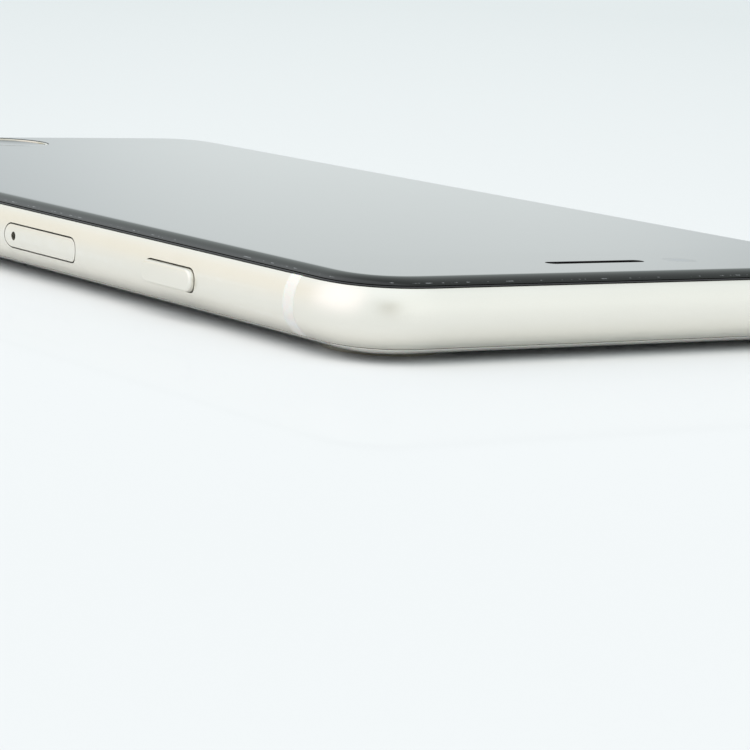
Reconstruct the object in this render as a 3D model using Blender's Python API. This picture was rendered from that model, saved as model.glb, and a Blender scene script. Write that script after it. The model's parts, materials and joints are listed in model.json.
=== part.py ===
"""A smartphone lying face up, modelled as the separate pieces that it comes apart into.

X runs across the width, with the lock button and the SIM tray at +X.
Y runs along the length, with the earpiece end at +Y.
Z runs up through the thickness, with the display on top.
The origin is under the middle of the phone, level with the lowest point, the rear camera's ring.
Units are metres. Heights named z_... are measured from the rear glass's outer face.
"""

import math

import bmesh
import bpy
from mathutils import Matrix, Vector

MM = 0.001

# ---------------------------------------------------------------- driving dimensions
LENGTH = 138.4 * MM
WIDTH = 67.3 * MM
THICKNESS = 7.3 * MM
CAMERA_BUMP = 0.6 * MM
HALF_L = LENGTH / 2
HALF_W = WIDTH / 2

# Seen from the front, each corner is a superellipse, which runs into the sides without a step.
CORNER_SIZE = 9.0 * MM
CORNER_POWER = 2.4
CORNER_STEPS = 8

# Seen in section, each half of the side is also a superellipse: how deep it is from the widest
# point to the flat face, and its power. The rear half is deeper and rounder than the front half.
FRONT_CURL = (3.2 * MM, 2.4)
REAR_CURL = (5.0 * MM, 2.0)
Z_MIDDLE = THICKNESS / 2

# Gaps: between loose neighbours, in bonded seams, and round pieces that move.
GAP = 0.10 * MM
SEAM = 0.05 * MM
RUNNING_GAP = 0.15 * MM

# The stack through the thickness, from the rear face up.
Z_REAR_GLASS = (0.0, 0.72 * MM)
Z_CHASSIS = (0.85 * MM, 1.15 * MM)
Z_FRAME = (0.80 * MM, 6.45 * MM)
Z_BOARD = (1.60 * MM, 2.40 * MM)
Z_PARTS = (1.30 * MM, 4.55 * MM)
Z_SHIELD = (4.70 * MM, 4.90 * MM)
Z_PANEL = (5.00 * MM, 6.58 * MM)
Z_GASKET = (5.75 * MM, 5.93 * MM)
Z_BEZEL = (6.00 * MM, 6.52 * MM, 6.62 * MM)
Z_FRONT_GLASS = (6.68 * MM, 7.30 * MM)

# The frame's section, inwards from its widest point.
WALL = 2.4 * MM
LIP = 1.8 * MM
REAR_FLANGE = 3.4 * MM
Z_LEDGE = 5.70 * MM
Z_FLANGE_TOP = 1.25 * MM
BEZEL_INNER = 3.1 * MM

# Plastic splits across the frame, measured from each end of the phone.
SPLIT_FROM_END = (10.7 * MM, 12.5 * MM)

# Controls: places along the length are measured from the earpiece end.
PROUD = 0.45 * MM
BUTTON_LONG = 9.4 * MM
BUTTON_HIGH = 2.2 * MM
BUTTON_TRAVEL = 0.35 * MM
LOCK_FROM_TOP = 32.7 * MM
VOLUME_UP_FROM_TOP = 34.2 * MM
VOLUME_DOWN_FROM_TOP = 46.8 * MM
RING_SWITCH_FROM_TOP = 21.6 * MM
RING_SWITCH_SIZE = (5.4 * MM, 2.0 * MM)
RING_SWITCH_TRAVEL = 1.2 * MM
BUTTON_FLANGE = (11.2 * MM, 3.4 * MM, 0.4 * MM)

TRAY_FROM_TOP = 58.6 * MM
TRAY_FACE = (15.0 * MM, 2.4 * MM)
TRAY_DEPTH = 18.5 * MM
TRAY_THICK = 0.9 * MM
PINHOLE_FROM_TRAY_END = 1.9 * MM
PINHOLE_RADIUS = 0.45 * MM
SIM_CARD = (12.3 * MM, 8.8 * MM, 0.67 * MM)
EJECT_TRAVEL = 1.5 * MM

# Front face.
EARPIECE_FROM_TOP = 9.6 * MM
EARPIECE_SLOT = (11.7 * MM, 1.5 * MM)
FRONT_CAMERA_X = -10.5 * MM
HOME_FROM_BOTTOM = 8.7 * MM
HOME_RADIUS = 5.0 * MM
PANEL_SIZE = (59.0 * MM, 108.4 * MM)

# Rear face.
CAMERA_AT = (HALF_W - 10.8 * MM, HALF_L - 12.0 * MM)
CAMERA_RADIUS = 5.75 * MM
FLASH_AT = (CAMERA_AT[0] - 13.2 * MM, CAMERA_AT[1])
FLASH_RADIUS = 2.5 * MM
REAR_MIC_AT = (CAMERA_AT[0] - 8.6 * MM, CAMERA_AT[1])
REAR_MIC_RADIUS = 0.55 * MM
LENS_RADIUS = 3.4 * MM
FOCUS_TRAVEL = 0.2 * MM
COIL_RADII = (9.0 * MM, 21.0 * MM)

# Bottom end.
PORT_OPENING = (7.7 * MM, 2.1 * MM)
PORT_WALL = 0.25 * MM
PORT_DEPTH = 7.2 * MM
SOUND_HOLE_RADIUS = 0.8 * MM
SOUND_HOLE_FIRST_X = 12.2 * MM
SOUND_HOLE_PITCH = 2.55 * MM
SOUND_HOLE_COUNT = 6
SCREW_X = 7.8 * MM
SCREW_HEAD_RADIUS = 0.85 * MM
SCREW_SHANK_RADIUS = 0.6 * MM

ROUND_STEPS = 20
UP = Vector((0, 0, 1))
RIGHT = Vector((1, 0, 0))
ALONG = Vector((0, 1, 0))


# ---------------------------------------------------------------- scene and materials
def clear_scene():
    for obj in list(bpy.data.objects):
        bpy.data.objects.remove(obj)


def make_material(name, colour, roughness, metallic=0.0):
    material = bpy.data.materials.new(name)
    material.use_nodes = True
    shader = material.node_tree.nodes["Principled BSDF"]
    shader.inputs["Base Color"].default_value = (*colour, 1.0)
    shader.inputs["Roughness"].default_value = roughness
    shader.inputs["Metallic"].default_value = metallic
    return material


clear_scene()
MATERIALS = {
    "anodised_frame": make_material("anodised_frame", (0.83, 0.80, 0.72), 0.38, 1.0),
    "antenna_plastic": make_material("antenna_plastic", (0.88, 0.86, 0.80), 0.5),
    "front_glass_black": make_material("front_glass_black", (0.01, 0.01, 0.012), 0.04),
    "rear_glass_cream": make_material("rear_glass_cream", (0.87, 0.84, 0.78), 0.06),
    "clear_glass": make_material("clear_glass", (0.05, 0.05, 0.06), 0.03),
    "black_plastic": make_material("black_plastic", (0.015, 0.015, 0.017), 0.4),
    "polished_steel": make_material("polished_steel", (0.72, 0.70, 0.66), 0.18, 1.0),
    "sheet_steel": make_material("sheet_steel", (0.55, 0.55, 0.56), 0.35, 1.0),
    "circuit_board": make_material("circuit_board", (0.02, 0.05, 0.07), 0.45),
    "battery_wrap": make_material("battery_wrap", (0.03, 0.03, 0.035), 0.35),
    "copper_coil": make_material("copper_coil", (0.62, 0.33, 0.16), 0.3, 1.0),
    "seal_rubber": make_material("seal_rubber", (0.05, 0.05, 0.05), 0.7),
    "acoustic_mesh": make_material("acoustic_mesh", (0.08, 0.08, 0.085), 0.55, 0.6),
}


def link(name, mesh, material, location=(0, 0, 0)):
    """Puts a mesh into the scene as one named piece, raised so that the camera ring stands on z = 0."""
    obj = bpy.data.objects.new(name, mesh)
    obj.location = Vector(location) + UP * CAMERA_BUMP
    obj.data.materials.append(MATERIALS[material])
    bpy.context.scene.collection.objects.link(obj)
    return obj


def finished_mesh(name, bm, smooth=True):
    bmesh.ops.recalc_face_normals(bm, faces=bm.faces)
    mesh = bpy.data.meshes.new(name)
    bm.to_mesh(mesh)
    bm.free()
    if smooth:
        mesh.shade_smooth()
        mesh.set_sharp_from_angle(angle=math.radians(35))
    return mesh


# ---------------------------------------------------------------- outlines
def side_inset(z):
    """How far the phone's side lies inside its widest point at this height."""
    depth, power = FRONT_CURL if z > Z_MIDDLE else REAR_CURL
    t = abs(z - Z_MIDDLE) / Z_MIDDLE
    return depth * (1 - max(0.0, 1 - t**power) ** (1 / power))


def corner_points(sign_x, sign_y):
    """A corner's points with their outward directions, from the long side to the short side."""
    points = []
    for step in range(CORNER_STEPS + 1):
        angle = math.pi / 2 * step / CORNER_STEPS
        along_x = max(0.0, math.cos(angle)) ** (2 / CORNER_POWER)
        along_y = max(0.0, math.sin(angle)) ** (2 / CORNER_POWER)
        place = Vector((
            sign_x * (HALF_W - CORNER_SIZE + CORNER_SIZE * along_x),
            sign_y * (HALF_L - CORNER_SIZE + CORNER_SIZE * along_y),
        ))
        outward = Vector((
            sign_x * along_x ** (CORNER_POWER - 1),
            sign_y * along_y ** (CORNER_POWER - 1),
        )).normalized()
        points.append((place, outward))
    return points


def end_path(sign_y, stop_y):
    """The path round one end of the phone, from the right side to the left side."""
    right = corner_points(1, sign_y)
    left = corner_points(-1, sign_y)[::-1]
    start = (Vector((HALF_W, sign_y * stop_y)), Vector((1, 0)))
    finish = (Vector((-HALF_W, sign_y * stop_y)), Vector((-1, 0)))
    return [start, *right, *left, finish]


def side_path(sign_x, y0, y1):
    outward = Vector((sign_x, 0))
    return [(Vector((sign_x * HALF_W, y)), outward) for y in (y0, y1)]


def full_outline():
    return [
        *corner_points(1, 1),
        *corner_points(-1, 1)[::-1],
        *corner_points(-1, -1),
        *corner_points(1, -1)[::-1],
    ]


def stadium(long, high, steps=6):
    """A slot's outline, with full round ends, long along the first axis."""
    radius = high / 2
    points = []
    for side, first in ((1, -90), (-1, 90)):
        for step in range(steps + 1):
            angle = math.radians(first + 180 * step / steps)
            centre = side * (long / 2 - radius)
            points.append((centre + radius * math.cos(angle), radius * math.sin(angle)))
    return points


def rounded_rectangle(size_x, size_y, radius, steps=3):
    points = []
    for sign_x, sign_y, first in ((1, 1, 0), (-1, 1, 90), (-1, -1, 180), (1, -1, 270)):
        for step in range(steps + 1):
            angle = math.radians(first + 90 * step / steps)
            points.append((
                sign_x * (size_x / 2 - radius) + radius * math.cos(angle),
                sign_y * (size_y / 2 - radius) + radius * math.sin(angle),
            ))
    return points


# ---------------------------------------------------------------- solids
def skin_rings(bm, rings, closed_rings=True, close_last_to_first=False):
    """Joins rings of points with quads. An open row of rings gets a cap at each end."""
    rows = [[bm.verts.new(point) for point in ring] for ring in rings]
    pairs = list(zip(rows, rows[1:]))
    if close_last_to_first:
        pairs.append((rows[-1], rows[0]))
    count = len(rows[0])
    last = count if closed_rings else count - 1
    for lower, upper in pairs:
        for i in range(last):
            j = (i + 1) % count
            bm.faces.new((lower[i], lower[j], upper[j], upper[i]))
    if not close_last_to_first:
        bm.faces.new(rows[0])
        bm.faces.new(rows[-1])


def sweep(name, path, section, material):
    """A solid whose section (inset, height) follows a path round the phone."""
    bm = bmesh.new()
    rings = []
    for place, outward in path:
        ring = []
        for inset, z in section:
            flat = place - outward * inset
            ring.append(Vector((flat.x, flat.y, z)))
        rings.append(ring)
    skin_rings(bm, rings)
    return link(name, finished_mesh(name, bm), material)


def ring_sweep(name, section, material):
    """A closed ring round the whole phone with this section."""
    bm = bmesh.new()
    rings = []
    for place, outward in full_outline():
        ring = []
        for inset, z in section:
            flat = place - outward * inset
            ring.append(Vector((flat.x, flat.y, z)))
        rings.append(ring)
    skin_rings(bm, rings, close_last_to_first=True)
    return link(name, finished_mesh(name, bm), material)


def plate(name, edge, material):
    """A plate with the phone's outline, whose edge is a row of (inset, height)."""
    bm = bmesh.new()
    outline = full_outline()
    rings = []
    for inset, z in edge:
        ring = []
        for place, outward in outline:
            flat = place - outward * inset
            ring.append(Vector((flat.x, flat.y, z)))
        rings.append(ring)
    skin_rings(bm, rings)
    return link(name, finished_mesh(name, bm), material)


def prism_mesh(name, outline, length, axis=UP):
    """An outline pushed along an axis, centred on its origin."""
    if axis == UP:
        turn = Matrix.Identity(3)
    elif axis == RIGHT:
        # The outline's first axis lies along Y and its second along Z.
        turn = Matrix(((0, 0, 1), (1, 0, 0), (0, 1, 0)))
    else:
        # The outline's first axis lies along X and its second along Z.
        turn = Matrix(((1, 0, 0), (0, 0, 1), (0, 1, 0)))
    bm = bmesh.new()
    rings = []
    for end in (-length / 2, length / 2):
        rings.append([turn @ Vector((u, v, end)) for u, v in outline])
    skin_rings(bm, rings)
    return finished_mesh(name, bm)


def prism(name, outline, centre, length, material, axis=UP):
    return link(name, prism_mesh(name, outline, length, axis), material, centre)


def block(name, low, high, material, bevel=0.0):
    """A box between two corners, with its origin at its middle."""
    low, high = Vector(low), Vector(high)
    size = high - low
    bm = bmesh.new()
    bmesh.ops.create_cube(bm, size=1.0, matrix=Matrix.Diagonal((*size, 1.0)))
    obj = link(name, finished_mesh(name, bm), material, (low + high) / 2)
    if bevel:
        rounding = obj.modifiers.new("rounding", "BEVEL")
        rounding.width = bevel
        rounding.segments = 2
    return obj


def circle(radius, steps=ROUND_STEPS):
    return [
        (radius * math.cos(2 * math.pi * i / steps), radius * math.sin(2 * math.pi * i / steps))
        for i in range(steps)
    ]


def turned(name, profile, centre, material, steps=ROUND_STEPS):
    """A turned piece. Its profile is a closed row of (radius, height), and its axis is Z."""
    bm = bmesh.new()
    rings = []
    for step in range(steps):
        angle = 2 * math.pi * step / steps
        across = Vector((math.cos(angle), math.sin(angle), 0))
        rings.append([across * radius + UP * z for radius, z in profile])
    skin_rings(bm, rings, close_last_to_first=True)
    return link(name, finished_mesh(name, bm), material, centre)


def boolean(obj, tool, operation="DIFFERENCE"):
    """Cuts one piece with a hidden tool, or adds the tool to it."""
    tool.hide_render = True
    tool.display_type = "WIRE"
    modifier = obj.modifiers.new(f"{operation.lower()} {tool.name}", "BOOLEAN")
    modifier.operation = operation
    modifier.object = tool
    return obj


def at(x=0.0, y=0.0, z=0.0):
    return Vector((x, y, z))


def from_top(distance):
    """The place along Y that lies this far from the earpiece end."""
    return HALF_L - distance


# ---------------------------------------------------------------- enclosure
def frame_section():
    heights = [Z_FRAME[0], 1.15 * MM, 1.7 * MM, 2.35 * MM, 3.0 * MM, Z_MIDDLE]
    heights += [4.3 * MM, 4.95 * MM, 5.6 * MM, 6.1 * MM, Z_FRAME[1]]
    outer = [(side_inset(z), z) for z in heights]
    inner = [
        (LIP, Z_FRAME[1]),
        (LIP, Z_LEDGE),
        (WALL, Z_LEDGE),
        (WALL, Z_FLANGE_TOP),
        (REAR_FLANGE, Z_FLANGE_TOP),
        (REAR_FLANGE, Z_FRAME[0]),
    ]
    return outer + inner


def make_frame():
    section = frame_section()
    metal_stop = HALF_L - SPLIT_FROM_END[0] + SEAM
    rail_end = HALF_L - SPLIT_FROM_END[1] - SEAM
    pieces = {
        "frame_top": sweep("frame_top", end_path(1, metal_stop), section, "anodised_frame"),
        "frame_bottom": sweep("frame_bottom", end_path(-1, metal_stop), section, "anodised_frame"),
        "frame_right": sweep(
            "frame_right",
            side_path(1, -rail_end, rail_end),
            section,
            "anodised_frame",
        ),
        "frame_left": sweep(
            "frame_left",
            side_path(-1, -rail_end, rail_end),
            section,
            "anodised_frame",
        ),
    }
    split_low = HALF_L - SPLIT_FROM_END[1]
    split_high = HALF_L - SPLIT_FROM_END[0]
    for sign_y, end in ((1, "top"), (-1, "bottom")):
        for sign_x, side in ((1, "right"), (-1, "left")):
            path = side_path(sign_x, sign_y * split_low, sign_y * split_high)
            sweep(f"antenna_split_{end}_{side}", path, section, "antenna_plastic")
    return pieces


def glass_edge(z_joint, z_face):
    """The curved edge of a cover glass, from its joint with the frame to its flat face."""
    steps = 4
    edge = [(side_inset(z_joint), z_joint)]
    for step in range(1, steps + 1):
        angle = math.pi / 2 * step / steps
        z = z_joint + (z_face - z_joint) * math.sin(angle)
        edge.append((side_inset(z), z))
    return edge


def make_rear():
    rear = plate("rear_glass", glass_edge(Z_REAR_GLASS[1], Z_REAR_GLASS[0]), "rear_glass_cream")
    holes = (
        ("camera_hole", CAMERA_AT, CAMERA_RADIUS + GAP, 28),
        ("flash_hole", FLASH_AT, FLASH_RADIUS + GAP, 20),
        ("mic_hole", REAR_MIC_AT, REAR_MIC_RADIUS + GAP, 10),
    )
    for name, place, radius, steps in holes:
        tool = prism(name, circle(radius, steps), at(*place, 0), 3 * MM, "sheet_steel")
        boolean(rear, tool)

    chassis_edge = [(REAR_FLANGE + GAP, Z_CHASSIS[0]), (REAR_FLANGE + GAP, Z_CHASSIS[1])]
    chassis = plate("chassis_plate", chassis_edge, "sheet_steel")
    openings = (
        ("chassis_camera_hole", CAMERA_AT, 7.4 * MM, 28),
        ("chassis_flash_hole", FLASH_AT, 3.0 * MM, 16),
        ("chassis_mic_hole", REAR_MIC_AT, 0.8 * MM, 10),
        ("chassis_coil_hole", (0, 0), COIL_RADII[1] + 4 * GAP, 40),
    )
    for name, place, radius, steps in openings:
        tool = prism(name, circle(radius, steps), at(*place, 1 * MM), 2 * MM, "sheet_steel")
        boolean(chassis, tool)

    coil_profile = [
        (COIL_RADII[0], Z_CHASSIS[0]),
        (COIL_RADII[1], Z_CHASSIS[0]),
        (COIL_RADII[1], Z_CHASSIS[1]),
        (COIL_RADII[0], Z_CHASSIS[1]),
    ]
    turned("charging_coil", coil_profile, at(), "copper_coil", steps=36)


def make_rear_camera():
    flange_radius = 7.2 * MM
    seat_radius = 5.0 * MM
    window_radius = 4.1 * MM
    z_lip = -CAMERA_BUMP
    z_seat = -0.25 * MM
    chamfer = 0.15 * MM
    ring_profile = [
        (window_radius, Z_CHASSIS[1]),
        (flange_radius, Z_CHASSIS[1]),
        (flange_radius, Z_REAR_GLASS[1] + GAP),
        (CAMERA_RADIUS, Z_REAR_GLASS[1] + GAP),
        (CAMERA_RADIUS, z_lip + chamfer),
        (CAMERA_RADIUS - chamfer, z_lip),
        (seat_radius + GAP, z_lip),
        (seat_radius + GAP, z_seat),
        (window_radius, z_seat),
    ]
    turned("camera_ring", ring_profile, at(*CAMERA_AT), "polished_steel", steps=32)

    cover_thickness = 0.25 * MM
    cover_middle = z_seat - GAP / 2 - cover_thickness / 2
    prism(
        "camera_lens_cover",
        circle(seat_radius, 32),
        at(*CAMERA_AT, cover_middle),
        cover_thickness,
        "clear_glass",
    )

    # The lens barrel rides in a bore of the camera's body and moves towards the cover to focus.
    body_half = 5.8 * MM
    body = block(
        "rear_camera_body",
        at(CAMERA_AT[0] - body_half, CAMERA_AT[1] - body_half, Z_PARTS[0]),
        at(CAMERA_AT[0] + body_half, CAMERA_AT[1] + body_half, Z_PARTS[1]),
        "black_plastic",
    )
    barrel_low = 0.10 * MM
    barrel_high = 2.90 * MM
    bore_top = barrel_high + RUNNING_GAP
    bore_middle = (Z_PARTS[0] - MM + bore_top) / 2
    bore = prism(
        "lens_bore",
        circle(LENS_RADIUS + RUNNING_GAP, 24),
        at(*CAMERA_AT, bore_middle),
        bore_top - Z_PARTS[0] + MM,
        "black_plastic",
    )
    boolean(body, bore)
    barrel_middle = (barrel_low + barrel_high) / 2
    prism(
        "rear_camera_lens",
        circle(LENS_RADIUS, 24),
        at(*CAMERA_AT, barrel_middle),
        barrel_high - barrel_low,
        "black_plastic",
    )

    window_thickness = 0.55 * MM
    prism(
        "flash_window",
        circle(FLASH_RADIUS),
        at(*FLASH_AT, window_thickness / 2 + GAP),
        window_thickness,
        "clear_glass",
    )
    flash_half = 2.0 * MM
    block(
        "flash_module",
        at(FLASH_AT[0] - flash_half, FLASH_AT[1] - flash_half, 0.85 * MM),
        at(FLASH_AT[0] + flash_half, FLASH_AT[1] + flash_half, Z_BOARD[0] - GAP),
        "black_plastic",
    )
    mesh_thickness = 0.2 * MM
    prism(
        "rear_microphone_mesh",
        circle(REAR_MIC_RADIUS, 10),
        at(*REAR_MIC_AT, 0.4 * MM),
        mesh_thickness,
        "acoustic_mesh",
    )


# ---------------------------------------------------------------- display and front face
def make_display():
    glass = plate("front_glass", glass_edge(*Z_FRONT_GLASS), "front_glass_black")
    slot_at = at(0, from_top(EARPIECE_FROM_TOP), Z_FRONT_GLASS[0])
    home_at = at(0, -HALF_L + HOME_FROM_BOTTOM, Z_FRONT_GLASS[0])
    boolean(glass, prism("earpiece_slot", stadium(*EARPIECE_SLOT), slot_at, 3 * MM, "black_plastic"))
    ring_radius = HOME_RADIUS + 0.45 * MM
    boolean(glass, prism("home_hole", circle(ring_radius + GAP, 32), home_at, 3 * MM, "black_plastic"))

    flange_inset = side_inset(Z_BEZEL[2]) + SEAM
    bezel_section = [
        (flange_inset, Z_BEZEL[2]),
        (flange_inset, Z_BEZEL[1]),
        (LIP + GAP, Z_BEZEL[1]),
        (LIP + GAP, Z_BEZEL[0]),
        (BEZEL_INNER, Z_BEZEL[0]),
        (BEZEL_INNER, Z_BEZEL[2]),
    ]
    ring_sweep("display_frame", bezel_section, "black_plastic")
    gasket_section = [
        (LIP + GAP, Z_GASKET[0]),
        (WALL - GAP, Z_GASKET[0]),
        (WALL - GAP, Z_GASKET[1]),
        (LIP + GAP, Z_GASKET[1]),
    ]
    ring_sweep("display_gasket", gasket_section, "seal_rubber")

    half_x, half_y = PANEL_SIZE[0] / 2, PANEL_SIZE[1] / 2
    block(
        "display_panel",
        at(-half_x, -half_y, Z_PANEL[0]),
        at(half_x, half_y, Z_PANEL[1]),
        "black_plastic",
    )
    block(
        "display_shield_plate",
        at(-half_x, -half_y, Z_SHIELD[0]),
        at(half_x, half_y, Z_SHIELD[1]),
        "sheet_steel",
    )

    mesh_outline = stadium(EARPIECE_SLOT[0] - 2 * GAP, EARPIECE_SLOT[1] - 2 * GAP)
    prism("earpiece_mesh", mesh_outline, at(0, slot_at.y, 6.95 * MM), 0.2 * MM, "acoustic_mesh")
    z_top_row = Z_FRONT_GLASS[0] - GAP
    speaker_y = slot_at.y
    block(
        "earpiece_speaker",
        at(-6.5 * MM, speaker_y - 3.2 * MM, 4.7 * MM),
        at(6.5 * MM, speaker_y + 3.2 * MM, z_top_row),
        "black_plastic",
        bevel=0.3 * MM,
    )
    camera_half = 3.1 * MM
    block(
        "front_camera",
        at(FRONT_CAMERA_X - camera_half, speaker_y - camera_half, 3.6 * MM),
        at(FRONT_CAMERA_X + camera_half, speaker_y + camera_half, z_top_row),
        "black_plastic",
        bevel=0.3 * MM,
    )
    block(
        "proximity_sensor",
        at(8 * MM, speaker_y - 1.2 * MM, 5.6 * MM),
        at(11 * MM, speaker_y + 1.2 * MM, z_top_row),
        "black_plastic",
    )

    # The fingerprint disc sits in a steel ring, and neither moves: a sensor feels the press.
    z_ring = (6.30 * MM, 7.25 * MM)
    ring_profile = [
        (HOME_RADIUS + SEAM, z_ring[0]),
        (ring_radius, z_ring[0]),
        (ring_radius, z_ring[1]),
        (HOME_RADIUS + SEAM, z_ring[1]),
    ]
    turned("home_button_ring", ring_profile, at(home_at.x, home_at.y, 0), "polished_steel", steps=32)
    disc_thickness = 0.80 * MM
    prism(
        "home_button",
        circle(HOME_RADIUS, 32),
        at(0, home_at.y, 6.35 * MM + disc_thickness / 2),
        disc_thickness,
        "front_glass_black",
    )
    bracket = rounded_rectangle(20 * MM, 10.4 * MM, 2 * MM)
    prism(
        "home_button_bracket",
        bracket,
        at(0, home_at.y + 0.6 * MM, 6.0 * MM),
        0.4 * MM,
        "sheet_steel",
    )


# ---------------------------------------------------------------- controls on the sides
def cut_side_slot(rail, name, sign_x, y, long, high, travel_z=0.0):
    """Cuts a round-ended slot for a control right through a side rail."""
    long = long + 2 * RUNNING_GAP
    high = high + 2 * RUNNING_GAP
    outline = rounded_rectangle(long, high + travel_z, high / 2, steps=6) if travel_z else stadium(long, high)
    middle = at(sign_x * (HALF_W - WALL / 2), y, Z_MIDDLE)
    boolean(rail, prism(f"{name}_slot", outline, middle, WALL + 3 * MM, "black_plastic", RIGHT))


def make_push_button(name, rail, sign_x, y):
    """A cap with a retaining flange behind the rail, on its own slide axis along X."""
    cut_side_slot(rail, name, sign_x, y, BUTTON_LONG, BUTTON_HIGH)
    flange_outer = HALF_W - WALL - RUNNING_GAP
    cap_outer = HALF_W + PROUD
    cap_length = cap_outer - flange_outer + BUTTON_FLANGE[2] / 2
    cap_middle = at(sign_x * (cap_outer - cap_length / 2), y, Z_MIDDLE)
    cap = prism(
        name,
        stadium(BUTTON_LONG, BUTTON_HIGH),
        cap_middle,
        cap_length,
        "anodised_frame",
        RIGHT,
    )
    flange_outline = rounded_rectangle(BUTTON_FLANGE[0], BUTTON_FLANGE[1], 0.8 * MM)
    flange_middle = at(sign_x * (flange_outer - BUTTON_FLANGE[2] / 2), y, Z_MIDDLE)
    flange = prism(
        f"{name}_flange", flange_outline, flange_middle, BUTTON_FLANGE[2], "anodised_frame", RIGHT,
    )
    boolean(cap, flange, "UNION")
    rounding = cap.modifiers.new("rounding", "BEVEL")
    rounding.width = 0.12 * MM
    rounding.segments = 1
    rounding.angle_limit = math.radians(50)

    # The switch that the flange presses stands clear of it by more than the travel.
    switch_outer = flange_outer - BUTTON_FLANGE[2] - BUTTON_TRAVEL - RUNNING_GAP
    switch_thickness = 0.6 * MM
    switch_low = sign_x * (switch_outer - switch_thickness)
    switch_high = sign_x * switch_outer
    half_y, half_z = 2.2 * MM, 1.3 * MM
    block(
        name.replace("_button", "_contact"),
        at(min(switch_low, switch_high), y - half_y, Z_MIDDLE - half_z),
        at(max(switch_low, switch_high), y + half_y, Z_MIDDLE + half_z),
        "sheet_steel",
    )


def make_ring_switch(rail):
    """A slider that moves towards the rear glass, in a slot taller than itself."""
    y = from_top(RING_SWITCH_FROM_TOP)
    long, high = RING_SWITCH_SIZE
    z_rest = Z_MIDDLE + RING_SWITCH_TRAVEL / 2
    cut_side_slot(rail, "ring_switch", -1, y, long, high, RING_SWITCH_TRAVEL)
    slider_inner = HALF_W - WALL + 0.3 * MM
    slider_outer = HALF_W + PROUD
    middle = at(-(slider_inner + slider_outer) / 2, y, z_rest)
    slider = prism(
        "ring_switch",
        stadium(long, high),
        middle,
        slider_outer - slider_inner,
        "anodised_frame",
        RIGHT,
    )
    rounding = slider.modifiers.new("rounding", "BEVEL")
    rounding.width = 0.12 * MM
    rounding.segments = 1
    rounding.angle_limit = math.radians(50)
    body_outer = HALF_W - WALL - GAP
    block(
        "ring_switch_body",
        at(-body_outer, y - 4.2 * MM, Z_MIDDLE - 2.2 * MM),
        at(-body_outer + 1.3 * MM, y + 4.2 * MM, Z_MIDDLE + 2.0 * MM),
        "black_plastic",
        bevel=0.2 * MM,
    )


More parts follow.
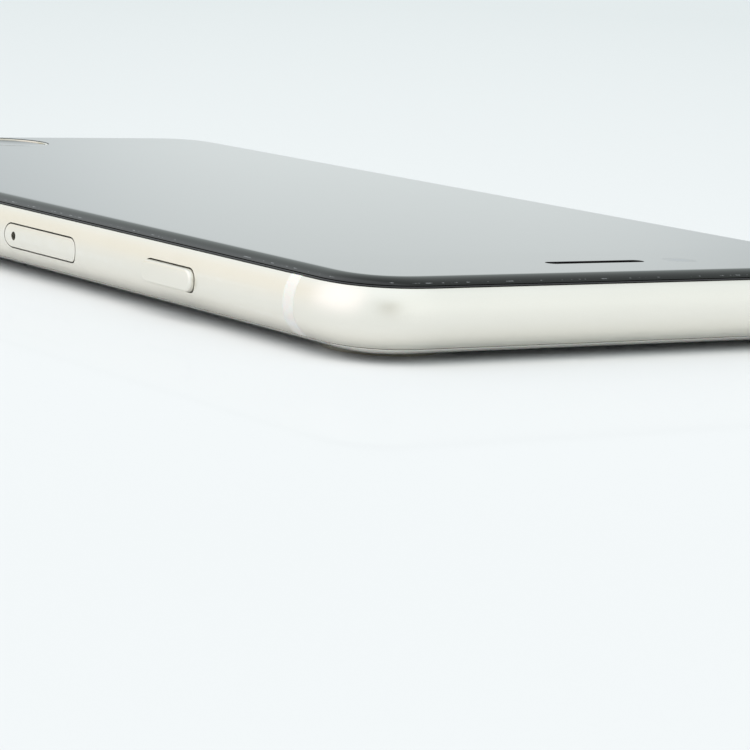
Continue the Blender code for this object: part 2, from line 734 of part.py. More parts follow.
def make_sim_tray(rail):
    """The tray, its card and seal, and the reader and ejector that it slides between."""
    y = from_top(TRAY_FROM_TOP)
    pin_y = y - TRAY_FACE[0] / 2 + PINHOLE_FROM_TRAY_END
    cut_side_slot(rail, "sim_tray", 1, y, *TRAY_FACE)
    face_thickness = 1.0 * MM
    face_outer = HALF_W - SEAM
    face_middle = at(face_outer - face_thickness / 2, y, Z_MIDDLE)
    tray = prism("sim_tray", stadium(*TRAY_FACE), face_middle, face_thickness, "anodised_frame", RIGHT)

    # Behind the face, a flat frame holds the card beside the pin hole's straight path.
    frame_low_y = pin_y + PINHOLE_RADIUS + 4 * GAP
    frame_high_y = y + TRAY_FACE[0] / 2 - 1.0 * MM
    frame_size = (TRAY_DEPTH, frame_high_y - frame_low_y, TRAY_THICK)
    frame_x = face_outer - face_thickness + 0.3 * MM - frame_size[0] / 2
    frame_y = (frame_low_y + frame_high_y) / 2
    outline = rounded_rectangle(frame_size[0], frame_size[1], 1.2 * MM)
    boolean(
        tray,
        prism("tray_frame", outline, at(frame_x, frame_y, Z_MIDDLE), TRAY_THICK, "anodised_frame"),
        "UNION",
    )
    card_x = frame_x - 1.2 * MM
    card_outline = rounded_rectangle(SIM_CARD[0], SIM_CARD[1], 1.0 * MM)
    pocket_outline = rounded_rectangle(SIM_CARD[0] + 2 * GAP, SIM_CARD[1] + 2 * GAP, 1.0 * MM)
    boolean(
        tray,
        prism("card_pocket", pocket_outline, at(card_x, frame_y, Z_MIDDLE), 2 * MM, "anodised_frame"),
    )
    boolean(
        tray,
        prism(
            "pin_hole",
            circle(PINHOLE_RADIUS, 12),
            at(face_middle.x, pin_y, Z_MIDDLE),
            3 * MM,
            "anodised_frame",
            RIGHT,
        ),
    )
    prism("sim_card", card_outline, at(card_x, frame_y, Z_MIDDLE), SIM_CARD[2], "rear_glass_cream")

    # A rubber ring round the tray's neck keeps water out.
    seal_x = face_outer - face_thickness - GAP - 0.25 * MM
    seal = prism(
        "sim_tray_seal",
        stadium(TRAY_FACE[0] - 0.2 * MM, TRAY_FACE[1] - 0.2 * MM),
        at(seal_x, y, Z_MIDDLE),
        0.5 * MM,
        "seal_rubber",
        RIGHT,
    )
    neck = rounded_rectangle(frame_size[1] + 2 * GAP, TRAY_THICK + 2 * GAP, 0.3 * MM)
    boolean(seal, prism("seal_neck", neck, at(seal_x, frame_y, Z_MIDDLE), 2 * MM, "seal_rubber", RIGHT))
    boolean(
        seal,
        prism(
            "seal_pin_hole",
            circle(PINHOLE_RADIUS + GAP, 12),
            at(seal_x, pin_y, Z_MIDDLE),
            2 * MM,
            "seal_rubber",
            RIGHT,
        ),
    )

    # The reader is a thin metal sleeve, open towards the tray and on its far side.
    reader_right = HALF_W - WALL - 3 * GAP
    reader_left = frame_x - frame_size[0] / 2 + 0.5 * MM
    reader_low_y, reader_high_y = frame_low_y - 0.30 * MM, frame_high_y + 0.35 * MM
    reader_half_z = TRAY_THICK / 2 + 0.35 * MM
    reader = block(
        "sim_reader",
        at(reader_left, reader_low_y, Z_MIDDLE - reader_half_z),
        at(reader_right, reader_high_y, Z_MIDDLE + reader_half_z),
        "sheet_steel",
    )
    sleeve = block(
        "reader_inside",
        at(reader_left - MM, frame_low_y - RUNNING_GAP, Z_MIDDLE - TRAY_THICK / 2 - RUNNING_GAP),
        at(reader_right + MM, frame_high_y + RUNNING_GAP, Z_MIDDLE + TRAY_THICK / 2 + RUNNING_GAP),
        "sheet_steel",
    )
    boolean(reader, sleeve)

    # A pin pushed through the hole moves the rod inwards, and the lever turns the push round.
    rod_outer = HALF_W - WALL - GAP
    lever_face = frame_x - frame_size[0] / 2 - EJECT_TRAVEL - 4 * GAP
    rod_inner = lever_face + 2 * GAP
    rod_middle = at((rod_outer + rod_inner) / 2, pin_y, Z_MIDDLE)
    prism(
        "sim_eject_rod",
        circle(0.45 * MM, 10),
        rod_middle,
        rod_outer - rod_inner,
        "polished_steel",
        RIGHT,
    )
    pivot_y = pin_y + 4.2 * MM
    lever_outline = [
        (-0.9 * MM, -4.7 * MM),
        (0.0, -4.7 * MM),
        (0.0, 4.7 * MM),
        (-0.9 * MM, 4.7 * MM),
        (-1.8 * MM, 1.0 * MM),
        (-1.8 * MM, -1.0 * MM),
    ]
    lever = prism(
        "sim_eject_lever",
        lever_outline,
        at(lever_face, pivot_y, Z_MIDDLE),
        0.8 * MM,
        "polished_steel",
    )
    pivot_x = lever_face - 0.9 * MM
    boolean(
        lever,
        prism(
            "lever_eye",
            circle(0.55 * MM, 12),
            at(pivot_x, pivot_y, Z_MIDDLE),
            3 * MM,
            "polished_steel",
        ),
    )
    pin_low = Z_BOARD[1] + GAP
    pin_high = Z_PARTS[1]
    prism(
        "sim_eject_pivot",
        circle(0.45 * MM, 12),
        at(pivot_x, pivot_y, (pin_low + pin_high) / 2),
        pin_high - pin_low,
        "polished_steel",
    )


def make_controls(frame):
    make_push_button("side_button", frame["frame_right"], 1, from_top(LOCK_FROM_TOP))
    make_push_button("volume_up_button", frame["frame_left"], -1, from_top(VOLUME_UP_FROM_TOP))
    make_push_button("volume_down_button", frame["frame_left"], -1, from_top(VOLUME_DOWN_FROM_TOP))
    make_ring_switch(frame["frame_left"])
    make_sim_tray(frame["frame_right"])


# ---------------------------------------------------------------- bottom end
def make_bottom_end(frame_bottom):
    wall_middle = -HALF_L + WALL / 2
    port_outer = (PORT_OPENING[0] + 2 * PORT_WALL, PORT_OPENING[1] + 2 * PORT_WALL)
    port_hole = stadium(port_outer[0] + 2 * GAP, port_outer[1] + 2 * GAP)
    boolean(
        frame_bottom,
        prism(
            "port_hole",
            port_hole,
            at(0, wall_middle, Z_MIDDLE),
            WALL + 3 * MM,
            "black_plastic",
            ALONG,
        ),
    )
    for sign, side in ((-1, "left"), (1, "right")):
        for i in range(SOUND_HOLE_COUNT):
            x = sign * (SOUND_HOLE_FIRST_X + i * SOUND_HOLE_PITCH)
            hole = prism(
                f"sound_hole_{side}_{i}",
                circle(SOUND_HOLE_RADIUS, 12),
                at(x, wall_middle, Z_MIDDLE),
                WALL + 3 * MM,
                "black_plastic",
                ALONG,
            )
            boolean(frame_bottom, hole)
        make_end_screw(frame_bottom, sign * SCREW_X, f"bottom_screw_{side}")

    shell_outer = -HALF_L + 0.25 * MM
    shell_inner = shell_outer + PORT_DEPTH + 0.5 * MM
    shell_middle = (shell_outer + shell_inner) / 2
    shell = prism(
        "charging_port",
        stadium(*port_outer),
        at(0, shell_middle, Z_MIDDLE),
        shell_inner - shell_outer,
        "sheet_steel",
        ALONG,
    )
    cavity_middle = shell_outer + PORT_DEPTH / 2 - MM / 2
    boolean(
        shell,
        prism(
            "port_cavity",
            stadium(*PORT_OPENING),
            at(0, cavity_middle, Z_MIDDLE),
            PORT_DEPTH + MM,
            "sheet_steel",
            ALONG,
        ),
    )
    contacts_half = 2.6 * MM
    z_floor = Z_MIDDLE - PORT_OPENING[1] / 2 + GAP
    block(
        "charging_port_contacts",
        at(-contacts_half, shell_outer + 1.5 * MM, z_floor),
        at(contacts_half, shell_outer + PORT_DEPTH - GAP, z_floor + 0.3 * MM),
        "copper_coil",
    )

    mesh_low_x = SOUND_HOLE_FIRST_X - 1.2 * MM
    mesh_high_x = SOUND_HOLE_FIRST_X + (SOUND_HOLE_COUNT - 1) * SOUND_HOLE_PITCH + 1.2 * MM
    mesh_y = -HALF_L + WALL + GAP
    for sign, name in ((-1, "microphone_mesh"), (1, "speaker_mesh")):
        low_x, high_x = sorted((sign * mesh_low_x, sign * mesh_high_x))
        block(
            name,
            at(low_x, mesh_y, Z_MIDDLE - 1.2 * MM),
            at(high_x, mesh_y + 0.2 * MM, Z_MIDDLE + 1.2 * MM),
            "acoustic_mesh",
        )


def make_end_screw(frame_bottom, x, name):
    """A small screw with a six-sided drive, sunk into the bottom end."""
    head_outer = -HALF_L + 0.25 * MM
    head_length = 0.6 * MM
    shank_length = 3.8 * MM
    clear = prism(
        f"{name}_hole",
        circle(SCREW_HEAD_RADIUS + GAP, 16),
        at(x, -HALF_L + WALL / 2, Z_MIDDLE),
        WALL + 3 * MM,
        "black_plastic",
        ALONG,
    )
    boolean(frame_bottom, clear)
    screw = prism(
        name,
        circle(SCREW_HEAD_RADIUS, 16),
        at(x, head_outer + head_length / 2, Z_MIDDLE),
        head_length,
        "polished_steel",
        ALONG,
    )
    shank_middle = head_outer + head_length / 2 + shank_length / 2
    boolean(
        screw,
        prism(
            f"{name}_shank",
            circle(SCREW_SHANK_RADIUS, 16),
            at(x, shank_middle, Z_MIDDLE),
            shank_length,
            "polished_steel",
            ALONG,
        ),
        "UNION",
    )
    boolean(
        screw,
        prism(
            f"{name}_drive",
            circle(0.38 * MM, 6),
            at(x, head_outer, Z_MIDDLE),
            0.6 * MM,
            "polished_steel",
            ALONG,
        ),
    )


# ---------------------------------------------------------------- inside
def make_inside():
    battery_x = (-29.4 * MM, 9.4 * MM)
    battery_y = (-41.0 * MM, 51.0 * MM)
    board_x = (10.2 * MM, 29.4 * MM)
    block(
        "battery",
        at(battery_x[0], battery_y[0], Z_PARTS[0]),
        at(battery_x[1], battery_y[1], Z_PARTS[1]),
        "battery_wrap",
        bevel=0.7 * MM,
    )
    block(
        "battery_connector",
        at(battery_x[1] - 9 * MM, battery_y[1] + 2 * GAP, 2.6 * MM),
        at(battery_x[1], battery_y[1] + 4.0 * MM, 3.6 * MM),
        "black_plastic",
    )

    # The board is a long strip beside the battery, with an arm across the earpiece end.
    camera_clear = 6.2 * MM
    board_outline = [
        (board_x[0], -27.5 * MM),
        (board_x[1], -27.5 * MM),
        (board_x[1], CAMERA_AT[1] - camera_clear),
        (CAMERA_AT[0] - camera_clear, CAMERA_AT[1] - camera_clear),
        (CAMERA_AT[0] - camera_clear, 65.0 * MM),
        (-6.0 * MM, 65.0 * MM),
        (-6.0 * MM, battery_y[1] + 5 * GAP),
        (board_x[0], battery_y[1] + 5 * GAP),
    ]
    middle = (Z_BOARD[0] + Z_BOARD[1]) / 2
    prism("logic_board", board_outline, at(0, 0, middle), Z_BOARD[1] - Z_BOARD[0], "circuit_board")
    z_can = (Z_BOARD[1] + GAP, 4.5 * MM)
    block(
        "board_shield_upper",
        at(board_x[0] + 0.8 * MM, 20.5 * MM, z_can[0]),
        at(28.6 * MM, 49.5 * MM, z_can[1]),
        "sheet_steel",
        bevel=0.2 * MM,
    )
    block(
        "board_shield_lower",
        at(board_x[0] + 0.8 * MM, -26.5 * MM, z_can[0]),
        at(28.6 * MM, 1.5 * MM, z_can[1]),
        "sheet_steel",
        bevel=0.2 * MM,
    )

    speaker_outline = [
        (board_x[0], -58.0 * MM),
        (board_x[1], -58.0 * MM),
        (board_x[1], -28.2 * MM),
        (board_x[0], -28.2 * MM),
    ]
    z_speaker = (Z_PARTS[0], 4.5 * MM)
    prism(
        "loudspeaker",
        speaker_outline,
        at(0, 0, sum(z_speaker) / 2),
        z_speaker[1] - z_speaker[0],
        "black_plastic",
    )
    block(
        "lower_board",
        at(-28.0 * MM, -60.3 * MM, 1.4 * MM),
        at(28.0 * MM, -58.5 * MM, 4.2 * MM),
        "circuit_board",
    )

    # A weight slides in an open tray to make the phone buzz.
    case_low = at(-29.2 * MM, -57.6 * MM, Z_PARTS[0])
    case_high = at(9.4 * MM, -42.0 * MM, 4.5 * MM)
    case = block("haptic_motor_case", case_low, case_high, "sheet_steel")
    wall = 0.4 * MM
    inner_low = case_low + at(wall, wall, wall)
    inner_high = case_high - at(wall, wall, -MM)
    boolean(case, block("haptic_inside", inner_low, inner_high, "sheet_steel"))
    room = 1.2 * MM
    mass_low = inner_low + at(room, 3 * GAP, 3 * GAP)
    mass_high = at(inner_high.x - room, inner_high.y - 3 * GAP, 4.3 * MM)
    block("haptic_motor_mass", mass_low, mass_high, "polished_steel", bevel=0.3 * MM)


frame = make_frame()
make_rear()
make_rear_camera()
make_display()
make_controls(frame)
make_bottom_end(frame["frame_bottom"])
make_inside()
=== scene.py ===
# %% [markdown]
# # A slim phone, lying face up on a pale table
# The engineering model comes in first, as a fixed frame. It says where each piece is, how thick the walls
# are and what moves. This lesson then models the visible skin again at full quality, piece by piece, and
# gives every piece a finish made from nodes. Nothing is placed by eye: sizes are read from the frame.

# %% Load the frame
import json
import math

import bmesh
import bpy
from mathutils import Matrix, Vector


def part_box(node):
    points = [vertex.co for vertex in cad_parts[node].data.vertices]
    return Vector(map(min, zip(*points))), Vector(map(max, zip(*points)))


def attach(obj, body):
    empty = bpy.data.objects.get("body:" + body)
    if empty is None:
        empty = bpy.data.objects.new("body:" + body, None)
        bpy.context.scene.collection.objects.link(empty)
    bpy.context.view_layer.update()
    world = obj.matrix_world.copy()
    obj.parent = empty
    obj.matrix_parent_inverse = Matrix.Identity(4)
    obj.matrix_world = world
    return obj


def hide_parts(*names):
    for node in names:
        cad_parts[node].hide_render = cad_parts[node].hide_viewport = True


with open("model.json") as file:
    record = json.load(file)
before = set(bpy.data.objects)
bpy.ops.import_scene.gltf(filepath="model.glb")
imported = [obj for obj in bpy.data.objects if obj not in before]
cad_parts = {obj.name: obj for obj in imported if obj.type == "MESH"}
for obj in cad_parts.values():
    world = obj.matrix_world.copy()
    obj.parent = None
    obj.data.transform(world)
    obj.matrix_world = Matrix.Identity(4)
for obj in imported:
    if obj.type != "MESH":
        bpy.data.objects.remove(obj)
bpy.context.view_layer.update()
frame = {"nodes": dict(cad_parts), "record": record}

# %% [markdown]
# ## Driving sizes
# A phone's outside is one smooth pebble that is sliced into glass, frame and glass. So most of its shape
# comes from a few numbers, which are measured on the frame. The rest are the small sizes that a machinist
# would find on the drawing, such as the size of a corner or how far the side curls in.

# %% Read the driving sizes
MM = 0.001
X, Y, Z = 0, 1, 2
UP = Vector((0, 0, 1))

frame_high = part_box("frame_top")[1]
HALF_WIDTH = frame_high.x
HALF_LENGTH = frame_high.y
REAR_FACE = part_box("rear_glass")[0].z
FRONT_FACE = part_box("front_glass")[1].z
MIDDLE = (REAR_FACE + FRONT_FACE) / 2
HALF_THICK = (FRONT_FACE - REAR_FACE) / 2

# Heights of the joints above the middle, from the frame's edge up to the cover glass.
FRAME_EDGE = frame_high.z - MIDDLE
SEAM_THICK = 0.10 * MM
SEAM_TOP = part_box("display_frame")[1].z - MIDDLE
SEAM_FOOT = SEAM_TOP - SEAM_THICK
GLASS_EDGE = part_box("front_glass")[0].z - MIDDLE

CORNER_SIZE = 9.0 * MM
SQUARENESS = 2.4
# How far each half of the side curls in, and how square its curve is.
FRONT_CURL = (3.2 * MM, 2.4)
REAR_CURL = (5.0 * MM, 2.0)
WALL = 2.4 * MM
CLEARANCE = 0.12 * MM
print(f"{2 * HALF_WIDTH / MM:.1f} x {2 * HALF_LENGTH / MM:.1f} x {2 * HALF_THICK / MM:.1f} mm")

# %% [markdown]
# ## A few hand tools
# Modelling by hand is a loop of the same moves: add a primitive, go into edit mode, pick some faces or
# edges, and run an operator on them. These helpers do the picking in code, by a test on place or direction,
# so the operators below read like the steps of a person at the screen.

# %% Add, pick and copy
# A face looks along an axis when its normal has more than this of it.
SQUARE_ON = 0.99


def add(primitive, name, **settings):
    """Adds a primitive with nothing else selected, and names it."""
    bpy.ops.object.select_all(action="DESELECT")
    primitive(**settings)
    piece = bpy.context.object
    piece.name = piece.data.name = name
    return piece


def only(piece):
    """Makes one piece the only one that is selected."""
    bpy.ops.object.select_all(action="DESELECT")
    piece.select_set(True)
    bpy.context.view_layer.objects.active = piece


def edit(piece):
    only(piece)
    bpy.ops.object.mode_set(mode="EDIT")


def leave():
    bpy.ops.object.mode_set(mode="OBJECT")


def pick(kind, test):
    """In edit mode, selects only the VERT, EDGE or FACE elements that pass a test."""
    bpy.ops.mesh.select_mode(type=kind)
    bpy.ops.mesh.select_all(action="DESELECT")
    mesh = bmesh.from_edit_mesh(bpy.context.object.data)
    mesh.normal_update()
    chosen = [e for e in {"VERT": mesh.verts, "EDGE": mesh.edges, "FACE": mesh.faces}[kind] if test(e)]
    for element in chosen:
        element.select_set(True)
    mesh.select_flush_mode()
    bmesh.update_edit_mesh(bpy.context.object.data)


def facing(axis, sign, least_area=0.0):
    """A test for faces that look along an axis, and have at least an area."""
    return lambda face: face.normal[axis] * sign > SQUARE_ON and face.calc_area() >= least_area


def level(face):
    """A test for faces that look straight up or down."""
    return abs(face.normal.z) > SQUARE_ON


def copy_of(piece, name):
    twin = piece.copy()
    twin.data = piece.data.copy()
    twin.name = twin.data.name = name
    bpy.context.scene.collection.objects.link(twin)
    return twin


def bake_place(piece):
    """Moves an object's location, turn and scale into its mesh."""
    only(piece)
    bpy.ops.object.transform_apply(location=True, rotation=True, scale=True)


def toward(axis, length=1.0):
    """A vector along one axis."""
    step = Vector((0, 0, 0))
    step[axis] = length
    return step


def measured(piece):
    """Prints a finished piece's size and how many faces it has."""
    low, high = (Vector(f(v.co[i] for v in piece.data.vertices) for i in range(3)) for f in (min, max))
    size = " x ".join(f"{value / MM:.2f}" for value in high - low)
    print(f"{piece.name}: {size} mm, {len(piece.data.polygons)} faces")
    return piece

# %% [markdown]
# Slicing is the bisect operator with its fill switched on. The frame, the splits and both cover glasses are
# slices of one pebble, so their surfaces run on from each other exactly, as they do on the real thing, where
# the assembled body is ground and blasted as one.

# %% Slice, carve, soften and smooth
# Points closer than this are one point.
SAME_PLACE = 1e-7


def slice_off(piece, axis, place, sign, fill=True):
    """Cuts away everything beyond a plane, on the side that sign says."""
    direction = toward(axis, sign)
    edit(piece)
    bpy.ops.mesh.select_all(action="SELECT")
    bpy.ops.mesh.bisect(
        plane_co=direction * sign * place, plane_no=direction,
        clear_outer=True, use_fill=fill, threshold=SAME_PLACE,
    )
    leave()
    return piece


def keep_between(piece, axis, low, high):
    slice_off(piece, axis, low, -1)
    return slice_off(piece, axis, high, 1)


def carve(piece, cutter, operation="DIFFERENCE"):
    """Cuts a piece with another piece, which is used up."""
    modifier = piece.modifiers.new("carve", "BOOLEAN")
    modifier.operation = operation
    modifier.object = cutter
    only(piece)
    bpy.ops.object.modifier_apply(modifier=modifier.name)
    bpy.data.objects.remove(cutter)
    return piece


def smooth(piece, angle=32):
    only(piece)
    bpy.ops.object.shade_smooth_by_angle(angle=math.radians(angle))
    return piece


def soften(piece, width, segments=2, angle=38):
    """Breaks every sharp edge by a small width, as deburring does, and shades the piece smooth."""
    smooth(piece)
    modifier = piece.modifiers.new("soften", "BEVEL")
    modifier.width = width
    modifier.segments = segments
    modifier.limit_method = "ANGLE"
    modifier.angle_limit = math.radians(angle)
    modifier.use_clamp_overlap = False
    modifier.harden_normals = True
    only(piece)
    bpy.ops.object.modifier_apply(modifier=modifier.name)
    return piece

# %% [markdown]
# Buttons, slots, sockets and card trays all start as the same thing: a block whose four edges along one axis
# are rounded. A bevel on just those four edges turns a cube into it. When the radius is half the height, the
# ends become full rounds. Rings, lenses and drills start as a round bar.

# %% A block with four rounded edges, and a bar
# Two round edges that meet leave a sliver between them, which is merged away below this size.
ROUND_OFF = 8e-6


def rounded_block(name, low, high, radius, along, segments=12):
    low, high = Vector(low), Vector(high)
    block = add(bpy.ops.mesh.primitive_cube_add, name, size=1, location=(low + high) / 2)
    block.scale = high - low
    bake_place(block)
    edit(block)
    across = [axis for axis in (X, Y, Z) if axis != along]
    pick("EDGE", lambda e: all(abs(e.verts[0].co[a] - e.verts[1].co[a]) < SAME_PLACE for a in across))
    bpy.ops.mesh.bevel(offset=radius, segments=segments, affect="EDGES")
    bpy.ops.mesh.select_all(action="SELECT")
    bpy.ops.mesh.remove_doubles(threshold=ROUND_OFF)
    leave()
    return block


def round_bar(name, centre, radius, length, along=Z, sides=48):
    """A cylinder along one axis, which the steps below turn into a real piece."""
    turn = {X: (0, math.pi / 2, 0), Y: (math.pi / 2, 0, 0), Z: (0, 0, 0)}[along]
    bar = add(
        bpy.ops.mesh.primitive_cylinder_add,
        name, vertices=sides, radius=radius, depth=length, location=centre, rotation=turn,
    )
    bake_place(bar)
    return bar


def push(distance, axis=Z):
    """Extrudes what is picked along an axis."""
    bpy.ops.mesh.extrude_region_move(TRANSFORM_OT_translate={"value": toward(axis, distance)})


def bridge_rims():
    """Joins the open rims of a piece with a wall."""
    pick("EDGE", lambda edge: edge.is_boundary)
    bpy.ops.mesh.bridge_edge_loops()


def bore_through(bar, wall):
    """Opens a bar or disc from top to bottom, and leaves a ring with a wall of this width."""
    edit(bar)
    pick("FACE", level)
    bpy.ops.mesh.inset(thickness=wall)
    bpy.ops.mesh.delete(type="FACE")
    bridge_rims()
    leave()
    return bar


print("Tools: add, pick, slice, carve, soften, smooth, block, bar, push, bridge and bore")

# %% [markdown]
# ## Shared effects
# Some effects show up on many materials: the grain of a blasted surface, finger smudges and dust, bright
# rubbed edges, a woven mesh. Each is a node group with named inputs, built once and placed wherever it's
# needed with its own values. They only put out masks and heights, so each material still decides what to do
# with them.

# %% Helpers for node trees
def new_group(name, inputs, outputs):
    """An empty shader group with number sockets. Inputs come as (name, default)."""
    tree = bpy.data.node_groups.new(name, "ShaderNodeTree")
    for label, default in inputs:
        tree.interface.new_socket(label, in_out="INPUT", socket_type="NodeSocketFloat").default_value = default
    for label in outputs:
        tree.interface.new_socket(label, in_out="OUTPUT", socket_type="NodeSocketFloat")
    return tree, tree.nodes.new("NodeGroupInput"), tree.nodes.new("NodeGroupOutput")


def make(tree, kind, inputs=None, **settings):
    """Adds a node. Inputs are plain values or the outputs that feed them."""
    node = tree.nodes.new(kind)
    for key, value in settings.items():
        setattr(node, key, value)
    for key, value in (inputs or {}).items():
        if isinstance(value, bpy.types.NodeSocket):
            tree.links.new(value, node.inputs[key])
        else:
            node.inputs[key].default_value = value
    return node


def calc(tree, operation, *values):
    """A math node on numbers or sockets."""
    return make(tree, "ShaderNodeMath", dict(enumerate(values)), operation=operation).outputs[0]


def remap(tree, value, low, high, to_low=0.0, to_high=1.0):
    inputs = {"Value": value, "From Min": low, "From Max": high, "To Min": to_low, "To Max": to_high}
    return make(tree, "ShaderNodeMapRange", inputs).outputs["Result"]


def object_place(tree):
    return make(tree, "ShaderNodeTexCoord").outputs["Object"]


def height_of(tree, place):
    return make(tree, "ShaderNodeSeparateXYZ", {0: place}).outputs[Z]


def in_units_of(tree, size):
    """Object coordinates, counted in units of a size."""
    rate = calc(tree, "DIVIDE", 1.0, size)
    scaled = make(tree, "ShaderNodeVectorMath", {0: object_place(tree), "Scale": rate}, operation="SCALE")
    return scaled.outputs[0]


def noise(tree, place, **inputs):
    """Soft noise, with about one blob to a unit."""
    return make(tree, "ShaderNodeTexNoise", {"Vector": place, "Scale": 1.0, **inputs}).outputs[0]


def counted(tree):
    """Prints how many nodes a finished group has."""
    print(f"group {tree.name}: {len(tree.nodes)} nodes")
    return tree

# %% [markdown]
# Grain is two sizes of noise on object coordinates, so it stays put when a piece moves. The first is the
# pitting that glass beads leave in aluminium, about a twentieth of a millimetre across. The second is the
# slow change in tone that anodising shows over several millimetres.

# %% Group: grain
def build_grain():
    tree, inner, outer = new_group("grain", [("Size", 0.00006), ("Drift", 0.004)], ["Height", "Tone"])
    pits = noise(tree, in_units_of(tree, inner.outputs["Size"]), Detail=2.0)
    tone = noise(tree, in_units_of(tree, inner.outputs["Drift"]), Detail=3.0)
    tree.links.new(pits, outer.inputs["Height"])
    tree.links.new(tone, outer.inputs["Tone"])
    return tree


GRAIN = counted(build_grain())

# %% [markdown]
# Handling leaves two marks: wide soft smudges that dull a polished face a little, and a few specks of dust.
# The dust is a cell pattern where only the very middle of a few cells counts.

# %% Group: handling
# The share of a cell that a speck takes, and the share of cells that have none.
SPECK_SIZE = 0.012
CLEAN_CELLS = 0.6


def build_handling():
    inputs = [("Smudge Size", 0.012), ("Dust Gap", 0.004)]
    tree, inner, outer = new_group("handling", inputs, ["Smudge", "Dust"])
    smear = noise(tree, in_units_of(tree, inner.outputs["Smudge Size"]), Detail=4.0, Distortion=1.4)
    spaced = in_units_of(tree, inner.outputs["Dust Gap"])
    cells = make(tree, "ShaderNodeTexVoronoi", {"Vector": spaced, "Scale": 1.0})
    near = calc(tree, "LESS_THAN", cells.outputs["Distance"], SPECK_SIZE)
    chance = make(tree, "ShaderNodeSeparateColor", {"Color": cells.outputs["Color"]})
    few = calc(tree, "GREATER_THAN", chance.outputs[0], CLEAN_CELLS)
    tree.links.new(remap(tree, smear, 0.5, 0.72), outer.inputs["Smudge"])
    tree.links.new(calc(tree, "MULTIPLY", near, few), outer.inputs["Dust"])
    return tree


HANDLING = counted(build_handling())

# %% [markdown]
# Edges get rubbed first. Cycles knows how pointed the surface is at each vertex, so a narrow range of that
# value, broken up by noise, marks the edges that a thumb or a table polishes.

# %% Group: edge rub
# A flat face is 0.5 pointed. Rub starts just above that.
RUB_START = 0.53


def build_edge_rub():
    tree, inner, outer = new_group("edge_rub", [("Reach", 0.06)], ["Rub"])
    pointed = make(tree, "ShaderNodeNewGeometry").outputs["Pointiness"]
    edge = remap(tree, pointed, RUB_START, calc(tree, "ADD", RUB_START, inner.outputs["Reach"]))
    patchy = remap(tree, noise(tree, object_place(tree), Scale=900.0, Detail=2.0), 0.3, 0.7)
    tree.links.new(calc(tree, "MULTIPLY", edge, patchy), outer.inputs["Rub"])
    return tree


EDGE_RUB = counted(build_edge_rub())

# %% [markdown]
# The acoustic meshes are woven from hair-thin wire. Two sine waves at right angles make the over-and-under
# heights, and where both are low there is a hole.

# %% Group: weave
# The holes are where both waves are below this.
HOLE_LEVEL = -0.15


def build_weave():
    inputs = [("Pitch", 0.00016), ("Turn", 0.785)]
    tree, inner, outer = new_group("weave", inputs, ["Height", "Hole"])
    place = {"Vector": object_place(tree), "Angle": inner.outputs["Turn"]}
    turned = make(tree, "ShaderNodeVectorRotate", place, rotation_type="Z_AXIS")
    parts = make(tree, "ShaderNodeSeparateXYZ", {0: turned.outputs[0]})
    rate = calc(tree, "DIVIDE", 2 * math.pi, inner.outputs["Pitch"])
    spread = calc(tree, "ADD", parts.outputs[Y], parts.outputs[Z])
    warp = calc(tree, "SINE", calc(tree, "MULTIPLY", parts.outputs[X], rate))
    weft = calc(tree, "SINE", calc(tree, "MULTIPLY", spread, rate))
    height = calc(tree, "MAXIMUM", warp, weft)
    tree.links.new(height, outer.inputs["Height"])
    tree.links.new(calc(tree, "LESS_THAN", height, HOLE_LEVEL), outer.inputs["Hole"])
    return tree


WEAVE = counted(build_weave())

# %% [markdown]
# Printing under glass has crisp outlines, such as the edge of the display or the ring round a camera. This
# group measures the distance to a rectangle with rounded corners, and puts out 1 inside it. With a big
# corner radius the same group draws circles.

# %% Group: printed window
def build_printed_window():
    places = [("Centre X", 0.0), ("Centre Y", 0.0)]
    inputs = places + [("Half Width", 0.01), ("Half Height", 0.01), ("Corner", 0.001)]
    tree, inner, outer = new_group("printed_window", inputs, ["Mask"])
    parts = make(tree, "ShaderNodeSeparateXYZ", {0: object_place(tree)})
    outside = []
    for axis, centre, half in ((X, "Centre X", "Half Width"), (Y, "Centre Y", "Half Height")):
        away = calc(tree, "ABSOLUTE", calc(tree, "SUBTRACT", parts.outputs[axis], inner.outputs[centre]))
        straight = calc(tree, "SUBTRACT", inner.outputs[half], inner.outputs["Corner"])
        outside.append(calc(tree, "MAXIMUM", calc(tree, "SUBTRACT", away, straight), 0.0))
    squares = [calc(tree, "MULTIPLY", value, value) for value in outside]
    distance = calc(tree, "SQRT", calc(tree, "ADD", *squares))
    tree.links.new(calc(tree, "LESS_THAN", distance, inner.outputs["Corner"]), outer.inputs["Mask"])
    return tree


PRINTED_WINDOW = counted(build_printed_window())

# %% [markdown]
# ## Finishes
# Each finish is one function. It starts from a Principled shader whose plain values are set on its own
# sockets, and then feeds colour, roughness and bump from the shared groups.

# %% Helpers for materials
FINISH = {}


def new_finish(name, **values):
    """A Principled material. Returns its tree and its shader."""
    material = bpy.data.materials.new(name)
    material.use_nodes = True
    shader = material.node_tree.nodes["Principled BSDF"]
    for socket, value in values.items():
        shader.inputs[socket.replace("_", " ")].default_value = value
    FINISH[name] = material
    print(f"finish {name}")
    return material.node_tree, shader


def placed(tree, group, **inputs):
    """Places a shared group, with its own values."""
    node = tree.nodes.new("ShaderNodeGroup")
    node.node_tree = group
    for key, value in inputs.items():
        node.inputs[key.replace("_", " ")].default_value = value
    return node.outputs


def blend_colours(tree, share, first, second):
    """Mixes two colours, which are values or sockets."""
    node = make(tree, "ShaderNodeMix", {0: share}, data_type="RGBA")
    for label, value in (("A", first), ("B", second)):
        socket = next(i for i in node.inputs if i.name == label and i.type == "RGBA")
        if isinstance(value, bpy.types.NodeSocket):
            tree.links.new(value, socket)
        else:
            socket.default_value = (*value, 1.0)
    return next(o for o in node.outputs if o.type == "RGBA")


